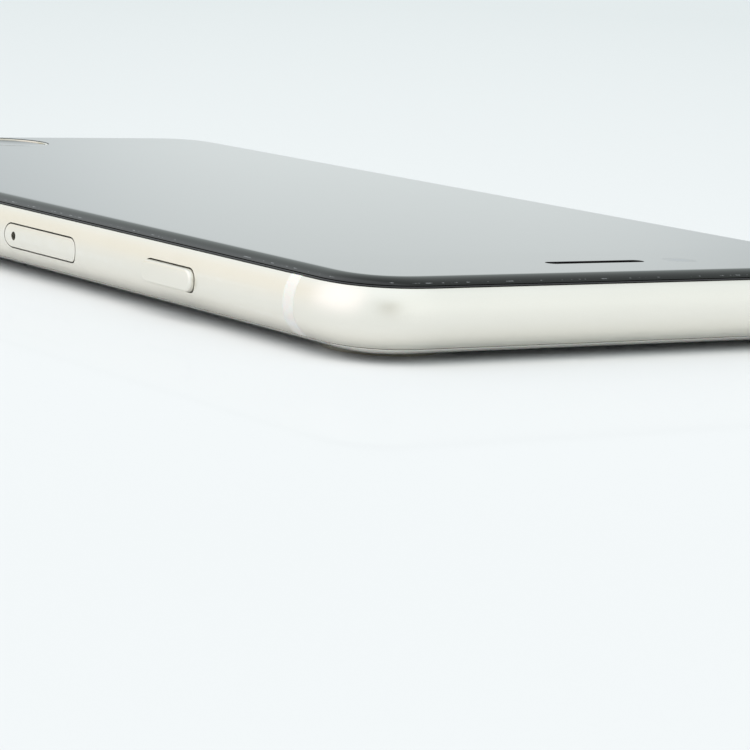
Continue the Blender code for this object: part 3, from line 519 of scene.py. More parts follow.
def bump(tree, shader, height, distance, strength=1.0):
    node = make(tree, "ShaderNodeBump", {"Height": height, "Distance": distance, "Strength": strength})
    tree.links.new(node.outputs[0], shader.inputs["Normal"])


def feed(tree, shader, **sources):
    for socket, source in sources.items():
        tree.links.new(source, shader.inputs[socket.replace("_", " ")])


def pitted(tree, grain, least, most):
    """A roughness that goes from least to most as the grain's height does."""
    return remap(tree, grain["Height"], 0.2, 0.8, least, most)


def smudged(tree, marks, clean, greasy):
    """A roughness that rises where a finger has been."""
    return remap(tree, marks["Smudge"], 0.0, 1.0, clean, greasy)


def faint(tree, mask, share):
    return calc(tree, "MULTIPLY", mask, share)


def grained_finish(name, size, drift, tones, rough, relief, strength, **values):
    """A finish that is only its grain: two tones that drift, and pits in the roughness and the relief."""
    tree, shader = new_finish(name, **values)
    grain = placed(tree, GRAIN, Size=size, Drift=drift)
    tone = blend_colours(tree, grain["Tone"], *tones)
    feed(tree, shader, Base_Color=tone, Roughness=pitted(tree, grain, *rough))
    bump(tree, shader, grain["Height"], relief, strength)

# %% [markdown]
# The frame, buttons and tray are bead-blasted aluminium, anodised a pale champagne. It's a metal, so its
# colour tints its reflections. The blasting shows as a very fine sparkle, and the edges that were cut
# afterwards are a little brighter.

# %% Champagne aluminium
def champagne_aluminium():
    tree, shader = new_finish("champagne_aluminium", Metallic=1.0)
    grain = placed(tree, GRAIN, Size=0.00007, Drift=0.009)
    marks = placed(tree, HANDLING, Smudge_Size=0.008, Dust_Gap=0.006)
    rub = placed(tree, EDGE_RUB, Reach=0.05)
    tone = blend_colours(tree, grain["Tone"], (0.838, 0.816, 0.744), (0.866, 0.844, 0.775))
    sparkle = remap(tree, grain["Height"], 0.45, 0.70, 0.0, 0.3)
    spark = blend_colours(tree, sparkle, tone, (0.90, 0.885, 0.83))
    bright = blend_colours(tree, faint(tree, rub["Rub"], 0.3), spark, (0.92, 0.91, 0.87))
    rough = calc(tree, "ADD", pitted(tree, grain, 0.30, 0.40), smudged(tree, marks, 0.0, 0.05))
    polished = calc(tree, "SUBTRACT", rough, faint(tree, rub["Rub"], 0.05))
    feed(tree, shader, Base_Color=bright, Roughness=polished)
    bump(tree, shader, grain["Height"], 0.000004, 0.6)


champagne_aluminium()

# %% [markdown]
# The antenna splits are moulded through the frame and blasted with it. The plastic is a little whiter than
# the metal, and light goes into it a short way, so it has some subsurface scattering.

# %% Antenna plastic
grained_finish(
    "antenna_plastic", 0.00009, 0.003, ((0.74, 0.725, 0.69), (0.77, 0.755, 0.72)), (0.42, 0.55), 0.000004, 0.6,
    Subsurface_Weight=0.25, Subsurface_Scale=0.0005,
)

# %% [markdown]
# The front is clear glass over black ink, with the display glued to its back. The ink touches the glass, so
# only the polished face reflects. It reflects little when it's seen square on, and most of the light at a
# low angle, which is what makes a black screen look silver from the side. The display's own area is a little
# lighter than the ink, and the front camera and the light sensor look out through small round windows.

# %% Front glass
ACTIVE_HALF_WIDTH = 29.25 * MM
ACTIVE_HALF_LENGTH = 52.0 * MM
# Lint gathers in a broken line round the edge of the glass.
GLASS_LINT_HEIGHT = FRONT_FACE - 0.42 * MM
LINT_HALF_WIDTH = 0.03 * MM


def middle_of(node):
    low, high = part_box(node)
    return (low + high) / 2


FRONT_CAMERA = middle_of("front_camera")
SENSOR = middle_of("proximity_sensor")


def window_over(tree, centre, half_width, half_height):
    """A window with full round ends, printed over a piece behind the glass."""
    return placed(
        tree, PRINTED_WINDOW, Centre_X=centre.x, Centre_Y=centre.y,
        Half_Width=half_width, Half_Height=half_height, Corner=half_height,
    )["Mask"]


def lint_line(tree):
    """A broken line of lint at one height on the glass."""
    from_line = calc(tree, "SUBTRACT", height_of(tree, object_place(tree)), GLASS_LINT_HEIGHT)
    on_line = calc(tree, "LESS_THAN", calc(tree, "ABSOLUTE", from_line), LINT_HALF_WIDTH)
    tufts = placed(tree, GRAIN, Size=0.0006, Drift=0.01)["Height"]
    return calc(tree, "MULTIPLY", on_line, remap(tree, tufts, 0.56, 0.70))


def front_glass_black():
    tree, shader = new_finish("front_glass_black", IOR=1.51)
    grain = placed(tree, GRAIN, Size=0.00025, Drift=0.02)
    marks = placed(tree, HANDLING, Smudge_Size=0.022, Dust_Gap=0.007)
    display = placed(tree, PRINTED_WINDOW, Half_Width=ACTIVE_HALF_WIDTH, Half_Height=ACTIVE_HALF_LENGTH,
                     Corner=0.0004)["Mask"]
    ring = window_over(tree, FRONT_CAMERA, 1.7 * MM, 1.7 * MM)
    eye = window_over(tree, FRONT_CAMERA, 0.9 * MM, 0.9 * MM)
    sensor = window_over(tree, SENSOR, 1.2 * MM, 0.7 * MM)
    ink = blend_colours(tree, display, (0.0018, 0.0018, 0.0020), (0.0085, 0.0090, 0.0105))
    with_sensor = blend_colours(tree, sensor, ink, (0.012, 0.006, 0.010))
    with_ring = blend_colours(tree, ring, with_sensor, (0.020, 0.021, 0.024))
    with_eye = blend_colours(tree, eye, with_ring, (0.010, 0.016, 0.040))
    dusty = blend_colours(tree, faint(tree, marks["Dust"], 0.5), with_eye, (0.45, 0.45, 0.44))
    linted = blend_colours(tree, faint(tree, lint_line(tree), 0.5), dusty, (0.30, 0.32, 0.34))
    rough = calc(tree, "ADD", smudged(tree, marks, 0.02, 0.06), faint(tree, ring, 0.08))
    feed(tree, shader, Base_Color=linted, Roughness=rough)
    bump(tree, shader, grain["Tone"], 0.0000012, 0.5)


front_glass_black()

# %% [markdown]
# The rear glass is built the same way, over a cream ink. Cream lacquer under glass has a faint depth to it,
# which a touch of subsurface scattering gives.

# %% Rear glass
def rear_glass_cream():
    tree, shader = new_finish(
        "rear_glass_cream", Coat_Weight=1.0, Coat_IOR=1.5, Coat_Roughness=0.02, IOR=1.45,
        Subsurface_Weight=0.15, Subsurface_Scale=0.0006,
    )
    grain = placed(tree, GRAIN, Size=0.0002, Drift=0.015)
    marks = placed(tree, HANDLING, Smudge_Size=0.018, Dust_Gap=0.006)
    tone = blend_colours(tree, grain["Tone"], (0.83, 0.80, 0.73), (0.87, 0.84, 0.77))
    dusty = blend_colours(tree, faint(tree, marks["Dust"], 0.4), tone, (0.5, 0.49, 0.47))
    feed(tree, shader, Base_Color=dusty, Roughness=smudged(tree, marks, 0.06, 0.16))
    bump(tree, shader, grain["Tone"], 0.000001, 0.5)


rear_glass_cream()

# %% [markdown]
# Clear windows cover the rear camera and the flash. Sapphire bends light more than glass does, so its index
# is higher and its reflection is brighter.

# %% Clear windows
def clear_glass():
    tree, shader = new_finish("clear_glass", Transmission_Weight=1.0, IOR=1.6)
    marks = placed(tree, HANDLING, Smudge_Size=0.004, Dust_Gap=0.003)
    tint = blend_colours(tree, marks["Smudge"], (0.97, 0.98, 0.98), (0.90, 0.92, 0.93))
    feed(tree, shader, Base_Color=tint, Roughness=smudged(tree, marks, 0.01, 0.05))


def frosted_lens():
    """The flash's window, moulded with rings that spread the light."""
    grained_finish(
        "frosted_lens", 0.00012, 0.002, ((0.95, 0.93, 0.84), (0.99, 0.97, 0.90)), (0.18, 0.32), 0.00001, 0.5,
        Transmission_Weight=0.75, IOR=1.49,
    )


def coated_lens():
    """A camera lens with its anti-reflection coating, which turns from violet to green at the rim."""
    tree, shader = new_finish("coated_lens", Coat_Weight=1.0, Coat_IOR=1.7, Coat_Roughness=0.01, Roughness=0.05)
    rim = make(tree, "ShaderNodeLayerWeight", {"Blend": 0.4}).outputs["Facing"]
    grain = placed(tree, GRAIN, Size=0.0003, Drift=0.002)
    violet = blend_colours(tree, grain["Tone"], (0.010, 0.006, 0.030), (0.018, 0.008, 0.045))
    coating = blend_colours(tree, rim, violet, (0.010, 0.060, 0.045))
    feed(tree, shader, Base_Color=coating, Roughness=pitted(tree, grain, 0.03, 0.06))


clear_glass()
frosted_lens()
coated_lens()

# %% [markdown]
# Black plastic is the display's edge trim, the module housings and the lens barrel. Moulded parts carry the
# texture of the spark-eroded mould, which is grain again, a little coarser.

# %% Plastics and rubber
def black_plastic():
    tree, shader = new_finish("black_plastic", IOR=1.5)
    grain = placed(tree, GRAIN, Size=0.00012, Drift=0.004)
    rub = placed(tree, EDGE_RUB, Reach=0.08)
    tone = blend_colours(tree, grain["Tone"], (0.008, 0.008, 0.009), (0.016, 0.016, 0.018))
    edge = blend_colours(tree, faint(tree, rub["Rub"], 0.5), tone, (0.05, 0.05, 0.052))
    feed(tree, shader, Base_Color=edge, Roughness=pitted(tree, grain, 0.30, 0.46))
    bump(tree, shader, grain["Height"], 0.000008, 0.6)


def battery_wrap():
    """Black film, shrunk tight, with faint creases."""
    tree, shader = new_finish("battery_wrap", IOR=1.48, Coat_Weight=0.3, Coat_Roughness=0.2)
    grain = placed(tree, GRAIN, Size=0.0006, Drift=0.02)
    tone = blend_colours(tree, grain["Tone"], (0.018, 0.018, 0.020), (0.034, 0.034, 0.038))
    feed(tree, shader, Base_Color=tone, Roughness=remap(tree, grain["Height"], 0.3, 0.7, 0.28, 0.42))
    bump(tree, shader, grain["Tone"], 0.00015, 0.4)


def seal_rubber():
    """Soft grey rubber, dull and slightly rough."""
    grained_finish(
        "seal_rubber", 0.0001, 0.002, ((0.030, 0.030, 0.031), (0.055, 0.054, 0.053)), (0.60, 0.78),
        0.00001, 0.7, IOR=1.5,
    )


def warning_orange():
    """The painted mark that shows when the ring switch is off."""
    grained_finish(
        "warning_orange", 0.0001, 0.001, ((0.80, 0.17, 0.02), (0.90, 0.23, 0.03)), (0.4, 0.5), 0.000005, 0.5,
        IOR=1.5,
    )


black_plastic()
battery_wrap()
seal_rubber()
warning_orange()

# %% [markdown]
# Steel comes in two finishes here. The camera's ring and the home button's ring are polished on a lathe,
# which leaves the faintest circular marks, though this finish gives them only a fine grain. Shields and
# brackets are rolled sheet, with streaks along one direction.

# %% Steels
def polished_steel():
    tree, shader = new_finish("polished_steel", Metallic=1.0)
    grain = placed(tree, GRAIN, Size=0.00005, Drift=0.003)
    rub = placed(tree, EDGE_RUB, Reach=0.06)
    tone = blend_colours(tree, grain["Tone"], (0.70, 0.655, 0.56), (0.76, 0.715, 0.62))
    bright = blend_colours(tree, faint(tree, rub["Rub"], 0.5), tone, (0.88, 0.85, 0.78))
    feed(tree, shader, Base_Color=bright, Roughness=pitted(tree, grain, 0.12, 0.22))
    bump(tree, shader, grain["Height"], 0.000002, 0.4)


def sheet_steel():
    tree, shader = new_finish("sheet_steel", Metallic=1.0)
    stretch = make(tree, "ShaderNodeMapping", {"Vector": object_place(tree), "Scale": (9000.0, 240.0, 9000.0)})
    streaks = noise(tree, stretch.outputs[0], Detail=3.0)
    grain = placed(tree, GRAIN, Size=0.0002, Drift=0.012)
    tone = blend_colours(tree, grain["Tone"], (0.50, 0.50, 0.51), (0.60, 0.60, 0.60))
    streaky = blend_colours(tree, remap(tree, streaks, 0.3, 0.7, 0.0, 0.35), tone, (0.72, 0.72, 0.71))
    feed(tree, shader, Base_Color=streaky, Roughness=remap(tree, streaks, 0.25, 0.75, 0.24, 0.42))
    bump(tree, shader, streaks, 0.000006, 0.6)


def gold_contact():
    grained_finish(
        "gold_contact", 0.00008, 0.002, ((0.86, 0.62, 0.27), (0.94, 0.72, 0.36)), (0.20, 0.32), 0.000003, 0.5,
        Metallic=1.0,
    )


polished_steel()
sheet_steel()
gold_contact()

# %% [markdown]
# The charging coil is a flat spiral of enamelled wire, so a ring wave round its middle gives the turns. The
# boards are solder mask over copper: a brick pattern stands for tracks, and scattered cells for solder pads.

# %% Coil and boards
def copper_coil():
    tree, shader = new_finish("copper_coil", Metallic=1.0)
    flat = {"Vector": object_place(tree), "Scale": 260.0, "Distortion": 0.0}
    turns = make(tree, "ShaderNodeTexWave", flat, wave_type="RINGS", rings_direction="Z").outputs["Fac"]
    grain = placed(tree, GRAIN, Size=0.0001, Drift=0.006)
    dark = blend_colours(tree, grain["Tone"], (0.40, 0.19, 0.09), (0.46, 0.22, 0.11))
    wound = blend_colours(tree, turns, dark, (0.74, 0.42, 0.22))
    feed(tree, shader, Base_Color=wound, Roughness=pitted(tree, grain, 0.22, 0.34))
    bump(tree, shader, turns, 0.00006, 0.8)


def circuit_board():
    tree, shader = new_finish("circuit_board", IOR=1.55, Coat_Weight=0.4, Coat_Roughness=0.15)
    place = object_place(tree)
    bricks = {"Vector": place, "Scale": 160.0, "Mortar Size": 0.06}
    tracks = make(tree, "ShaderNodeTexBrick", bricks).outputs["Fac"]
    cells = make(tree, "ShaderNodeTexVoronoi", {"Vector": place, "Scale": 700.0}).outputs["Distance"]
    pads = calc(tree, "LESS_THAN", cells, 0.2)
    grain = placed(tree, GRAIN, Size=0.0002, Drift=0.006)
    mask = blend_colours(tree, grain["Tone"], (0.006, 0.022, 0.030), (0.010, 0.034, 0.044))
    tracked = blend_colours(tree, faint(tree, tracks, 0.6), mask, (0.020, 0.065, 0.075))
    soldered = blend_colours(tree, pads, tracked, (0.62, 0.60, 0.55))
    feed(tree, shader, Base_Color=soldered, Roughness=pitted(tree, grain, 0.3, 0.45), Metallic=pads)
    bump(tree, shader, calc(tree, "MAXIMUM", tracks, pads), 0.00003, 0.5)


def acoustic_mesh():
    tree, shader = new_finish("acoustic_mesh")
    weave = placed(tree, WEAVE, Pitch=0.00018, Turn=0.785)
    grain = placed(tree, GRAIN, Size=0.00008, Drift=0.002)
    wire = blend_colours(tree, grain["Tone"], (0.10, 0.10, 0.105), (0.17, 0.17, 0.175))
    # The holes are painted near black, as painted shade of the dark space behind the mesh.
    wire_and_painted_hole_shade = blend_colours(tree, weave["Hole"], wire, (0.004, 0.004, 0.004))
    metal = remap(tree, weave["Hole"], 0.0, 1.0, 0.8, 0.0)
    rough = remap(tree, weave["Height"], -1.0, 1.0, 0.6, 0.35)
    feed(tree, shader, Base_Color=wire_and_painted_hole_shade, Metallic=metal, Roughness=rough)
    bump(tree, shader, weave["Height"], 0.00003, 0.8)


copper_coil()
circuit_board()
acoustic_mesh()

# %% [markdown]
# ## Fitting out
# Each finished piece rides on a body of the frame, stands in for the plain nodes that it replaces, which are
# hidden, and takes the finish that is named for it.


def settle(piece, finish, nodes=(), body="phone"):
    piece.data.materials.clear()
    piece.data.materials.append(FINISH[finish])
    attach(piece, body)
    if nodes:
        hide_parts(*nodes)
    return measured(piece)

# %% [markdown]
# ## The pebble
# Everything outside is cut from one shape. Seen from above, its corners are superellipses, softer than a
# quarter circle where they leave the straight sides. Seen in section, the side is a superellipse too, and
# it's rounder towards the back, where it has to sit in a palm. A plane's corners are bevelled first, with
# the bevel's profile set for that curve. Then its face is inset and raised, row by row. The two halves are
# made in the same way, with different rows, and are joined at the widest line.

# %% Model the pebble
CORNER_SEGMENTS = 28
# A bevel profile of p draws a superellipse whose power is -log(2) / log(sqrt(p)).
CORNER_PROFILE = 2 ** (-2 / SQUARENESS)
# Rows of faces up the metal and over the curl of the glass, and how the metal's rows spread.
METAL_ROWS = 10
GLASS_ROWS = 11
ROW_SPREAD = 0.8
# A plain ring round each flat face keeps the curl's shading off it.
FACE_MARGIN = 0.3 * MM


def inset_at(rise):
    """How far the side lies inside its widest point, at a height above the middle."""
    depth, power = FRONT_CURL if rise > 0 else REAR_CURL
    share = min(1.0, abs(rise) / HALF_THICK)
    return depth * (1 - (1 - share**power) ** (1 / power))


def section_rows():
    """Heights of the rows: even on the metal, exact at each joint, and close together on the glass."""
    metal = [FRAME_EDGE * (step / METAL_ROWS) ** ROW_SPREAD for step in range(1, METAL_ROWS)]
    joints = [FRAME_EDGE, SEAM_FOOT, SEAM_TOP, GLASS_EDGE]
    curl = HALF_THICK - GLASS_EDGE
    turns = [math.pi / 2 * step / GLASS_ROWS for step in range(1, GLASS_ROWS + 1)]
    glass = [GLASS_EDGE + curl * math.sin(turn) for turn in turns]
    return metal + joints + glass


def model_half(name, sign):
    """One half of the pebble: up to the front when sign is 1, down to the back when it's -1."""
    half = add(bpy.ops.mesh.primitive_plane_add, name, size=1)
    half.scale = (2 * HALF_WIDTH, 2 * HALF_LENGTH, 1)
    bake_place(half)
    edit(half)
    bpy.ops.mesh.select_all(action="SELECT")
    bpy.ops.mesh.bevel(offset=CORNER_SIZE, segments=CORNER_SEGMENTS, profile=CORNER_PROFILE, affect="VERTICES")
    previous = 0.0
    pick("FACE", lambda face: True)
    for rise in section_rows():
        step = inset_at(sign * rise) - inset_at(sign * previous)
        bpy.ops.mesh.inset(thickness=step, depth=rise - previous)
        previous = rise
    bpy.ops.mesh.inset(thickness=FACE_MARGIN, depth=0)
    if sign < 0:
        bpy.ops.mesh.select_all(action="SELECT")
        bpy.ops.transform.resize(value=(1, 1, -1), center_override=(0, 0, 0))
        bpy.ops.mesh.flip_normals()
    leave()
    return half


def model_pebble():
    pebble = model_half("pebble", 1)
    back = model_half("back_half", -1)
    only(pebble)
    back.select_set(True)
    bpy.ops.object.join()
    edit(pebble)
    bpy.ops.mesh.select_all(action="SELECT")
    bpy.ops.mesh.remove_doubles(threshold=SAME_PLACE)
    leave()
    pebble.location.z = MIDDLE
    bake_place(pebble)
    return measured(pebble)


pebble = model_pebble()

# %% [markdown]
# Smooth shading averages the direction of neighbouring faces. A long straight side that meets a curved
# corner would pick up a little of the corner's turn along its whole length. Four plain slices across the
# pebble, just inside the corners, hold the straight parts straight.

# %% Hold the straight sides straight
def score(piece, axis, place):
    """Adds a row of edges in a plane, and removes nothing."""
    edit(piece)
    bpy.ops.mesh.select_all(action="SELECT")
    bpy.ops.mesh.bisect(plane_co=toward(axis, place), plane_no=toward(axis), threshold=SAME_PLACE)
    leave()


# How far inside the corners the slices lie, on the ends and along the sides.
END_HOLD = 1 * MM
SIDE_HOLD = 0.3 * MM
for sign in (1, -1):
    score(pebble, X, sign * (HALF_WIDTH - CORNER_SIZE - END_HOLD))
    score(pebble, Y, sign * (HALF_LENGTH - CORNER_SIZE - SIDE_HOLD))
print(f"pebble: {len(pebble.data.polygons)} faces with its slices")

# %% [markdown]
# ## The metal frame
# The frame is the middle slice of the pebble, opened from top to bottom. Its two flat cuts are inset by the
# wall's thickness, the middles are deleted, and a bridge joins the two rims. The band is then cut across,
# into two ends, two rails and the four plastic splits between them.

# %% Cut the band
def open_middle(piece, top_width, foot_width):
    """Opens a slice from top to bottom. The two flat rims that stay have their own widths."""
    edit(piece)
    pick("FACE", level)
    bpy.ops.mesh.dissolve_faces()
    for sign, width in ((1, top_width), (-1, foot_width)):
        pick("FACE", facing(Z, sign))
        bpy.ops.mesh.inset(thickness=width)
        bpy.ops.mesh.delete(type="FACE")
    bridge_rims()
    leave()
    return piece


band = keep_between(copy_of(pebble, "band"), Z, MIDDLE - FRAME_EDGE, MIDDLE + FRAME_EDGE)
open_middle(band, WALL - inset_at(FRAME_EDGE), WALL - inset_at(-FRAME_EDGE))

# The joints along Y are read from the plastic pieces of the frame.
split_low, split_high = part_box("antenna_split_top_right")
SPLIT_INNER = split_low.y
SPLIT_OUTER = split_high.y

ends = {
    "frame_top": slice_off(copy_of(band, "top_end"), Y, SPLIT_OUTER, -1),
    "frame_bottom": slice_off(copy_of(band, "bottom_end"), Y, -SPLIT_OUTER, 1),
}
rails = {}
for sign, side in ((1, "right"), (-1, "left")):
    rail = keep_between(copy_of(band, f"{side}_rail"), Y, -SPLIT_INNER, SPLIT_INNER)
    rails[f"frame_{side}"] = slice_off(rail, X, 0, -sign, fill=False)
print(f"{len(ends)} ends and {len(rails)} rails, cut {SPLIT_INNER / MM:.1f} mm from the middle")

# %% [markdown]
# Metal stops radio waves, so a band of plastic splits the frame near each corner, and the pieces on each
# side of it work as aerials. The splits are cut from the same band, so no step shows between metal and
# plastic.

# %% Mould the antenna splits
splits = {}
for end_sign, end in ((1, "top"), (-1, "bottom")):
    inner, outer = sorted((end_sign * SPLIT_INNER, end_sign * SPLIT_OUTER))
    both = keep_between(copy_of(band, f"{end}_splits"), Y, inner, outer)
    for sign, side in ((1, "right"), (-1, "left")):
        one = slice_off(copy_of(both, f"split_{end}_{side}"), X, 0, -sign, fill=False)
        splits[f"antenna_split_{end}_{side}"] = one
    bpy.data.objects.remove(both)
bpy.data.objects.remove(band)
print(f"{len(splits)} splits, each {(SPLIT_OUTER - SPLIT_INNER) / MM:.1f} mm wide")

# %% [markdown]
# ## Slots in the rails
# The lock button, the volume buttons, the ring switch and the SIM tray each sit in a milled slot with full
# round ends. A slot is a rounded block that is carved out. The clearance round each piece is a hair over a
# tenth of a millimetre, which reads as a crisp dark line. The rail's faces are long, and a hole in a long
# face drags its shading. So a row of edges is scored beside each slot, and where its round ends begin,
# before it's carved.

# %% Mill the slots
BUTTON_LONG = 9.4 * MM
BUTTON_HIGH = 2.2 * MM
TRAY_LONG = 15.0 * MM
TRAY_HIGH = 2.4 * MM
SWITCH_LONG = 5.4 * MM
SWITCH_HIGH = 2.0 * MM
SLOT_MARGIN = 0.25 * MM
# Cutters run on past what they cut, in steps of this size.
OVERSHOOT = 1 * MM


def mill_slot(rail, sign, along_y, long, high, travel=0.0):
    grown_long = long / 2 + CLEARANCE
    grown_high = high / 2 + CLEARANCE
    outer = (sign * (HALF_WIDTH + OVERSHOOT), along_y - grown_long, MIDDLE - grown_high - travel / 2)
    inner = (sign * (HALF_WIDTH - WALL - OVERSHOOT), along_y + grown_long, MIDDLE + grown_high + travel / 2)
    corners = list(zip(outer, inner))
    block = rounded_block("slot", [min(c) for c in corners], [max(c) for c in corners], grown_high, X)
    for way in (1, -1):
        score(rail, Y, along_y + way * (grown_long + SLOT_MARGIN))
        score(rail, Y, along_y + way * (grown_long - grown_high))
    carve(rail, block)
    print(f"{rail.name}: a slot {2 * grown_long / MM:.2f} mm long at Y {along_y / MM:.1f}")


tray_low, tray_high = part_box("sim_tray")
tray_y = (tray_low.y + tray_high.y) / 2
switch_low, switch_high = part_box("ring_switch")
SWITCH_TRAVEL = 2 * ((switch_low.z + switch_high.z) / 2 - MIDDLE)
mill_slot(rails["frame_right"], 1, middle_of("side_button").y, BUTTON_LONG, BUTTON_HIGH)
mill_slot(rails["frame_right"], 1, tray_y, TRAY_LONG, TRAY_HIGH)
for button in ("volume_up_button", "volume_down_button"):
    mill_slot(rails["frame_left"], -1, middle_of(button).y, BUTTON_LONG, BUTTON_HIGH)
mill_slot(rails["frame_left"], -1, middle_of("ring_switch").y, SWITCH_LONG, SWITCH_HIGH, SWITCH_TRAVEL)

# %% [markdown]
# ## Holes in the bottom end
# The charging port goes through the middle of the bottom end, with a small screw on each side of it and a
# row of six drilled sound holes beyond each screw.

# %% Drill the bottom end
screw_low, screw_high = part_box("bottom_screw_right")
SCREW_X = (screw_low.x + screw_high.x) / 2
SCREW_RADIUS = (screw_high.x - screw_low.x) / 2
port_low, port_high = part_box("charging_port")
SOUND_HOLE_RADIUS = 0.8 * MM
SOUND_HOLE_PITCH = 2.55 * MM
SOUND_HOLES = 6
DRILL_LONG = WALL + 3 * OVERSHOOT
mesh_low, mesh_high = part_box("speaker_mesh")
FIRST_SOUND_HOLE = (mesh_low.x + mesh_high.x - (SOUND_HOLES - 1) * SOUND_HOLE_PITCH) / 2

bottom_end = ends["frame_bottom"]
end_middle = -HALF_LENGTH + WALL / 2
for sign in (1, -1):
    centres = [FIRST_SOUND_HOLE + step * SOUND_HOLE_PITCH for step in range(SOUND_HOLES)]
    drills = [(x, SOUND_HOLE_RADIUS) for x in centres] + [(SCREW_X, SCREW_RADIUS + CLEARANCE)]
    for x, radius in drills:
        drill = round_bar("drill", (sign * x, end_middle, MIDDLE), radius, DRILL_LONG, Y, sides=32)
        carve(bottom_end, drill)
port_hole = rounded_block(
    "port_hole",
    (port_low.x - CLEARANCE, end_middle - WALL, port_low.z - CLEARANCE),
    (port_high.x + CLEARANCE, end_middle + WALL, port_high.z + CLEARANCE),
    (port_high.z - port_low.z) / 2 + CLEARANCE, Y,
)
carve(bottom_end, port_hole)
print(f"{2 * SOUND_HOLES} sound holes, 2 screw holes and a hole for the port")

# %% [markdown]
# Every cut edge gets a tiny chamfer, as the real frame's do. It catches a thin line of light, and without it
# the seams would look drawn on. The splits get half as much, because they are blasted flush with the metal.

# %% Finish the frame
FRAME_CHAMFER = 0.04 * MM
SPLIT_CHAMFER = 0.02 * MM
for node, piece in {**ends, **rails}.items():
    settle(soften(piece, FRAME_CHAMFER), "champagne_aluminium", [node])
for node, piece in splits.items():
    settle(soften(piece, SPLIT_CHAMFER), "antenna_plastic", [node])

# %% [markdown]
# ## The cover glasses
# The front glass is the pebble's top slice. It has a slot for the earpiece and a round hole for the home
# button, both carved as the frame's were.

# %% Slice the front glass
EARPIECE = middle_of("earpiece_mesh")
EARPIECE_LONG = 11.7 * MM
EARPIECE_HIGH = 1.5 * MM
HOME = middle_of("home_button")
HOME_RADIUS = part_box("home_button")[1].x
HOME_RING_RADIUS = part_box("home_button_ring")[1].x

GLASS_CHAMFER = 0.05 * MM
# Chamfers on the glass leave the curl alone, which turns by less than this from face to face.
GLASS_ANGLE = 50
BORE_LONG = 4 * OVERSHOOT
# Round pieces that catch the eye have this many sides.
FINE_ROUND = 96

front_glass = slice_off(copy_of(pebble, "cover_glass"), Z, MIDDLE + GLASS_EDGE, -1)
slot = rounded_block(
    "slot",
    (-EARPIECE_LONG / 2, EARPIECE.y - EARPIECE_HIGH / 2, FRONT_FACE - 2 * OVERSHOOT),
    (EARPIECE_LONG / 2, EARPIECE.y + EARPIECE_HIGH / 2, FRONT_FACE + OVERSHOOT),
    EARPIECE_HIGH / 2, Z,
)
carve(front_glass, slot)
home_bore = HOME_RING_RADIUS + 0.04 * MM
carve(front_glass, round_bar("bore", (HOME.x, HOME.y, FRONT_FACE), home_bore, BORE_LONG, sides=FINE_ROUND))
settle(soften(front_glass, GLASS_CHAMFER, angle=GLASS_ANGLE), "front_glass_black", ["front_glass"])

# %% [markdown]
# The rear glass is the bottom slice, with holes for the camera's ring, the flash and a microphone.

# %% Slice the rear glass
camera_low, camera_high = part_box("camera_lens_cover")
CAMERA = (camera_low + camera_high) / 2
CAMERA_RADIUS = 5.75 * MM
FLASH = middle_of("flash_window")
flash_low, flash_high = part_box("flash_window")
FLASH_RADIUS = (flash_high.x - flash_low.x) / 2
REAR_MIC = middle_of("rear_microphone_mesh")
REAR_MIC_RADIUS = 0.55 * MM

rear_glass = slice_off(copy_of(pebble, "back_glass"), Z, MIDDLE - SEAM_FOOT, 1)
bores = (
    (CAMERA, CAMERA_RADIUS + 0.05 * MM, FINE_ROUND),
    (FLASH, FLASH_RADIUS + 0.03 * MM, 64),
    (REAR_MIC, REAR_MIC_RADIUS, 32),
)
for centre, radius, sides in bores:
    carve(rear_glass, round_bar("bore", (centre.x, centre.y, REAR_FACE), radius, BORE_LONG, sides=sides))
settle(soften(rear_glass, GLASS_CHAMFER, angle=GLASS_ANGLE), "rear_glass_cream", ["rear_glass"])

# %% [markdown]
# Between the front glass and the metal runs a thin black line. It's the edge of a moulded frame that the
# glass is glued to, with a skirt that drops inside the metal. Its flange is a very thin slice of the pebble.
# The flange's underside is inset and pushed down for the skirt, before the middle is opened.

# %% Mould the display frame
SKIRT_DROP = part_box("display_frame")[0].z - (MIDDLE + SEAM_FOOT)
FLANGE = 0.95 * MM
SKIRT = 1.1 * MM

trim = keep_between(copy_of(pebble, "glass_trim"), Z, MIDDLE + SEAM_FOOT, MIDDLE + SEAM_TOP)
edit(trim)
pick("FACE", level)
bpy.ops.mesh.dissolve_faces()
pick("FACE", facing(Z, -1))
bpy.ops.mesh.inset(thickness=FLANGE)
push(SKIRT_DROP)
bpy.ops.mesh.inset(thickness=SKIRT)
bpy.ops.mesh.delete(type="FACE")
pick("FACE", facing(Z, 1))
bpy.ops.mesh.inset(thickness=FLANGE + SKIRT)
bpy.ops.mesh.delete(type="FACE")
bridge_rims()
leave()
settle(soften(trim, 0.015 * MM, segments=1), "black_plastic", ["display_frame"])

# %% [markdown]
# ## Buttons
# A button is a rounded block that sticks out of its slot. The rim of its outer face gets a soft bevel. Its
# inner end is widened into a flange, which keeps it from falling out, and that takes an extrude, a resize
# and another extrude. The first extrude goes nowhere: it only adds the ring of edges that the resize turns
# into a step.

# %% Model the buttons
BUTTON_FLANGE = 0.4 * MM
BUTTON_RIM = 0.28 * MM


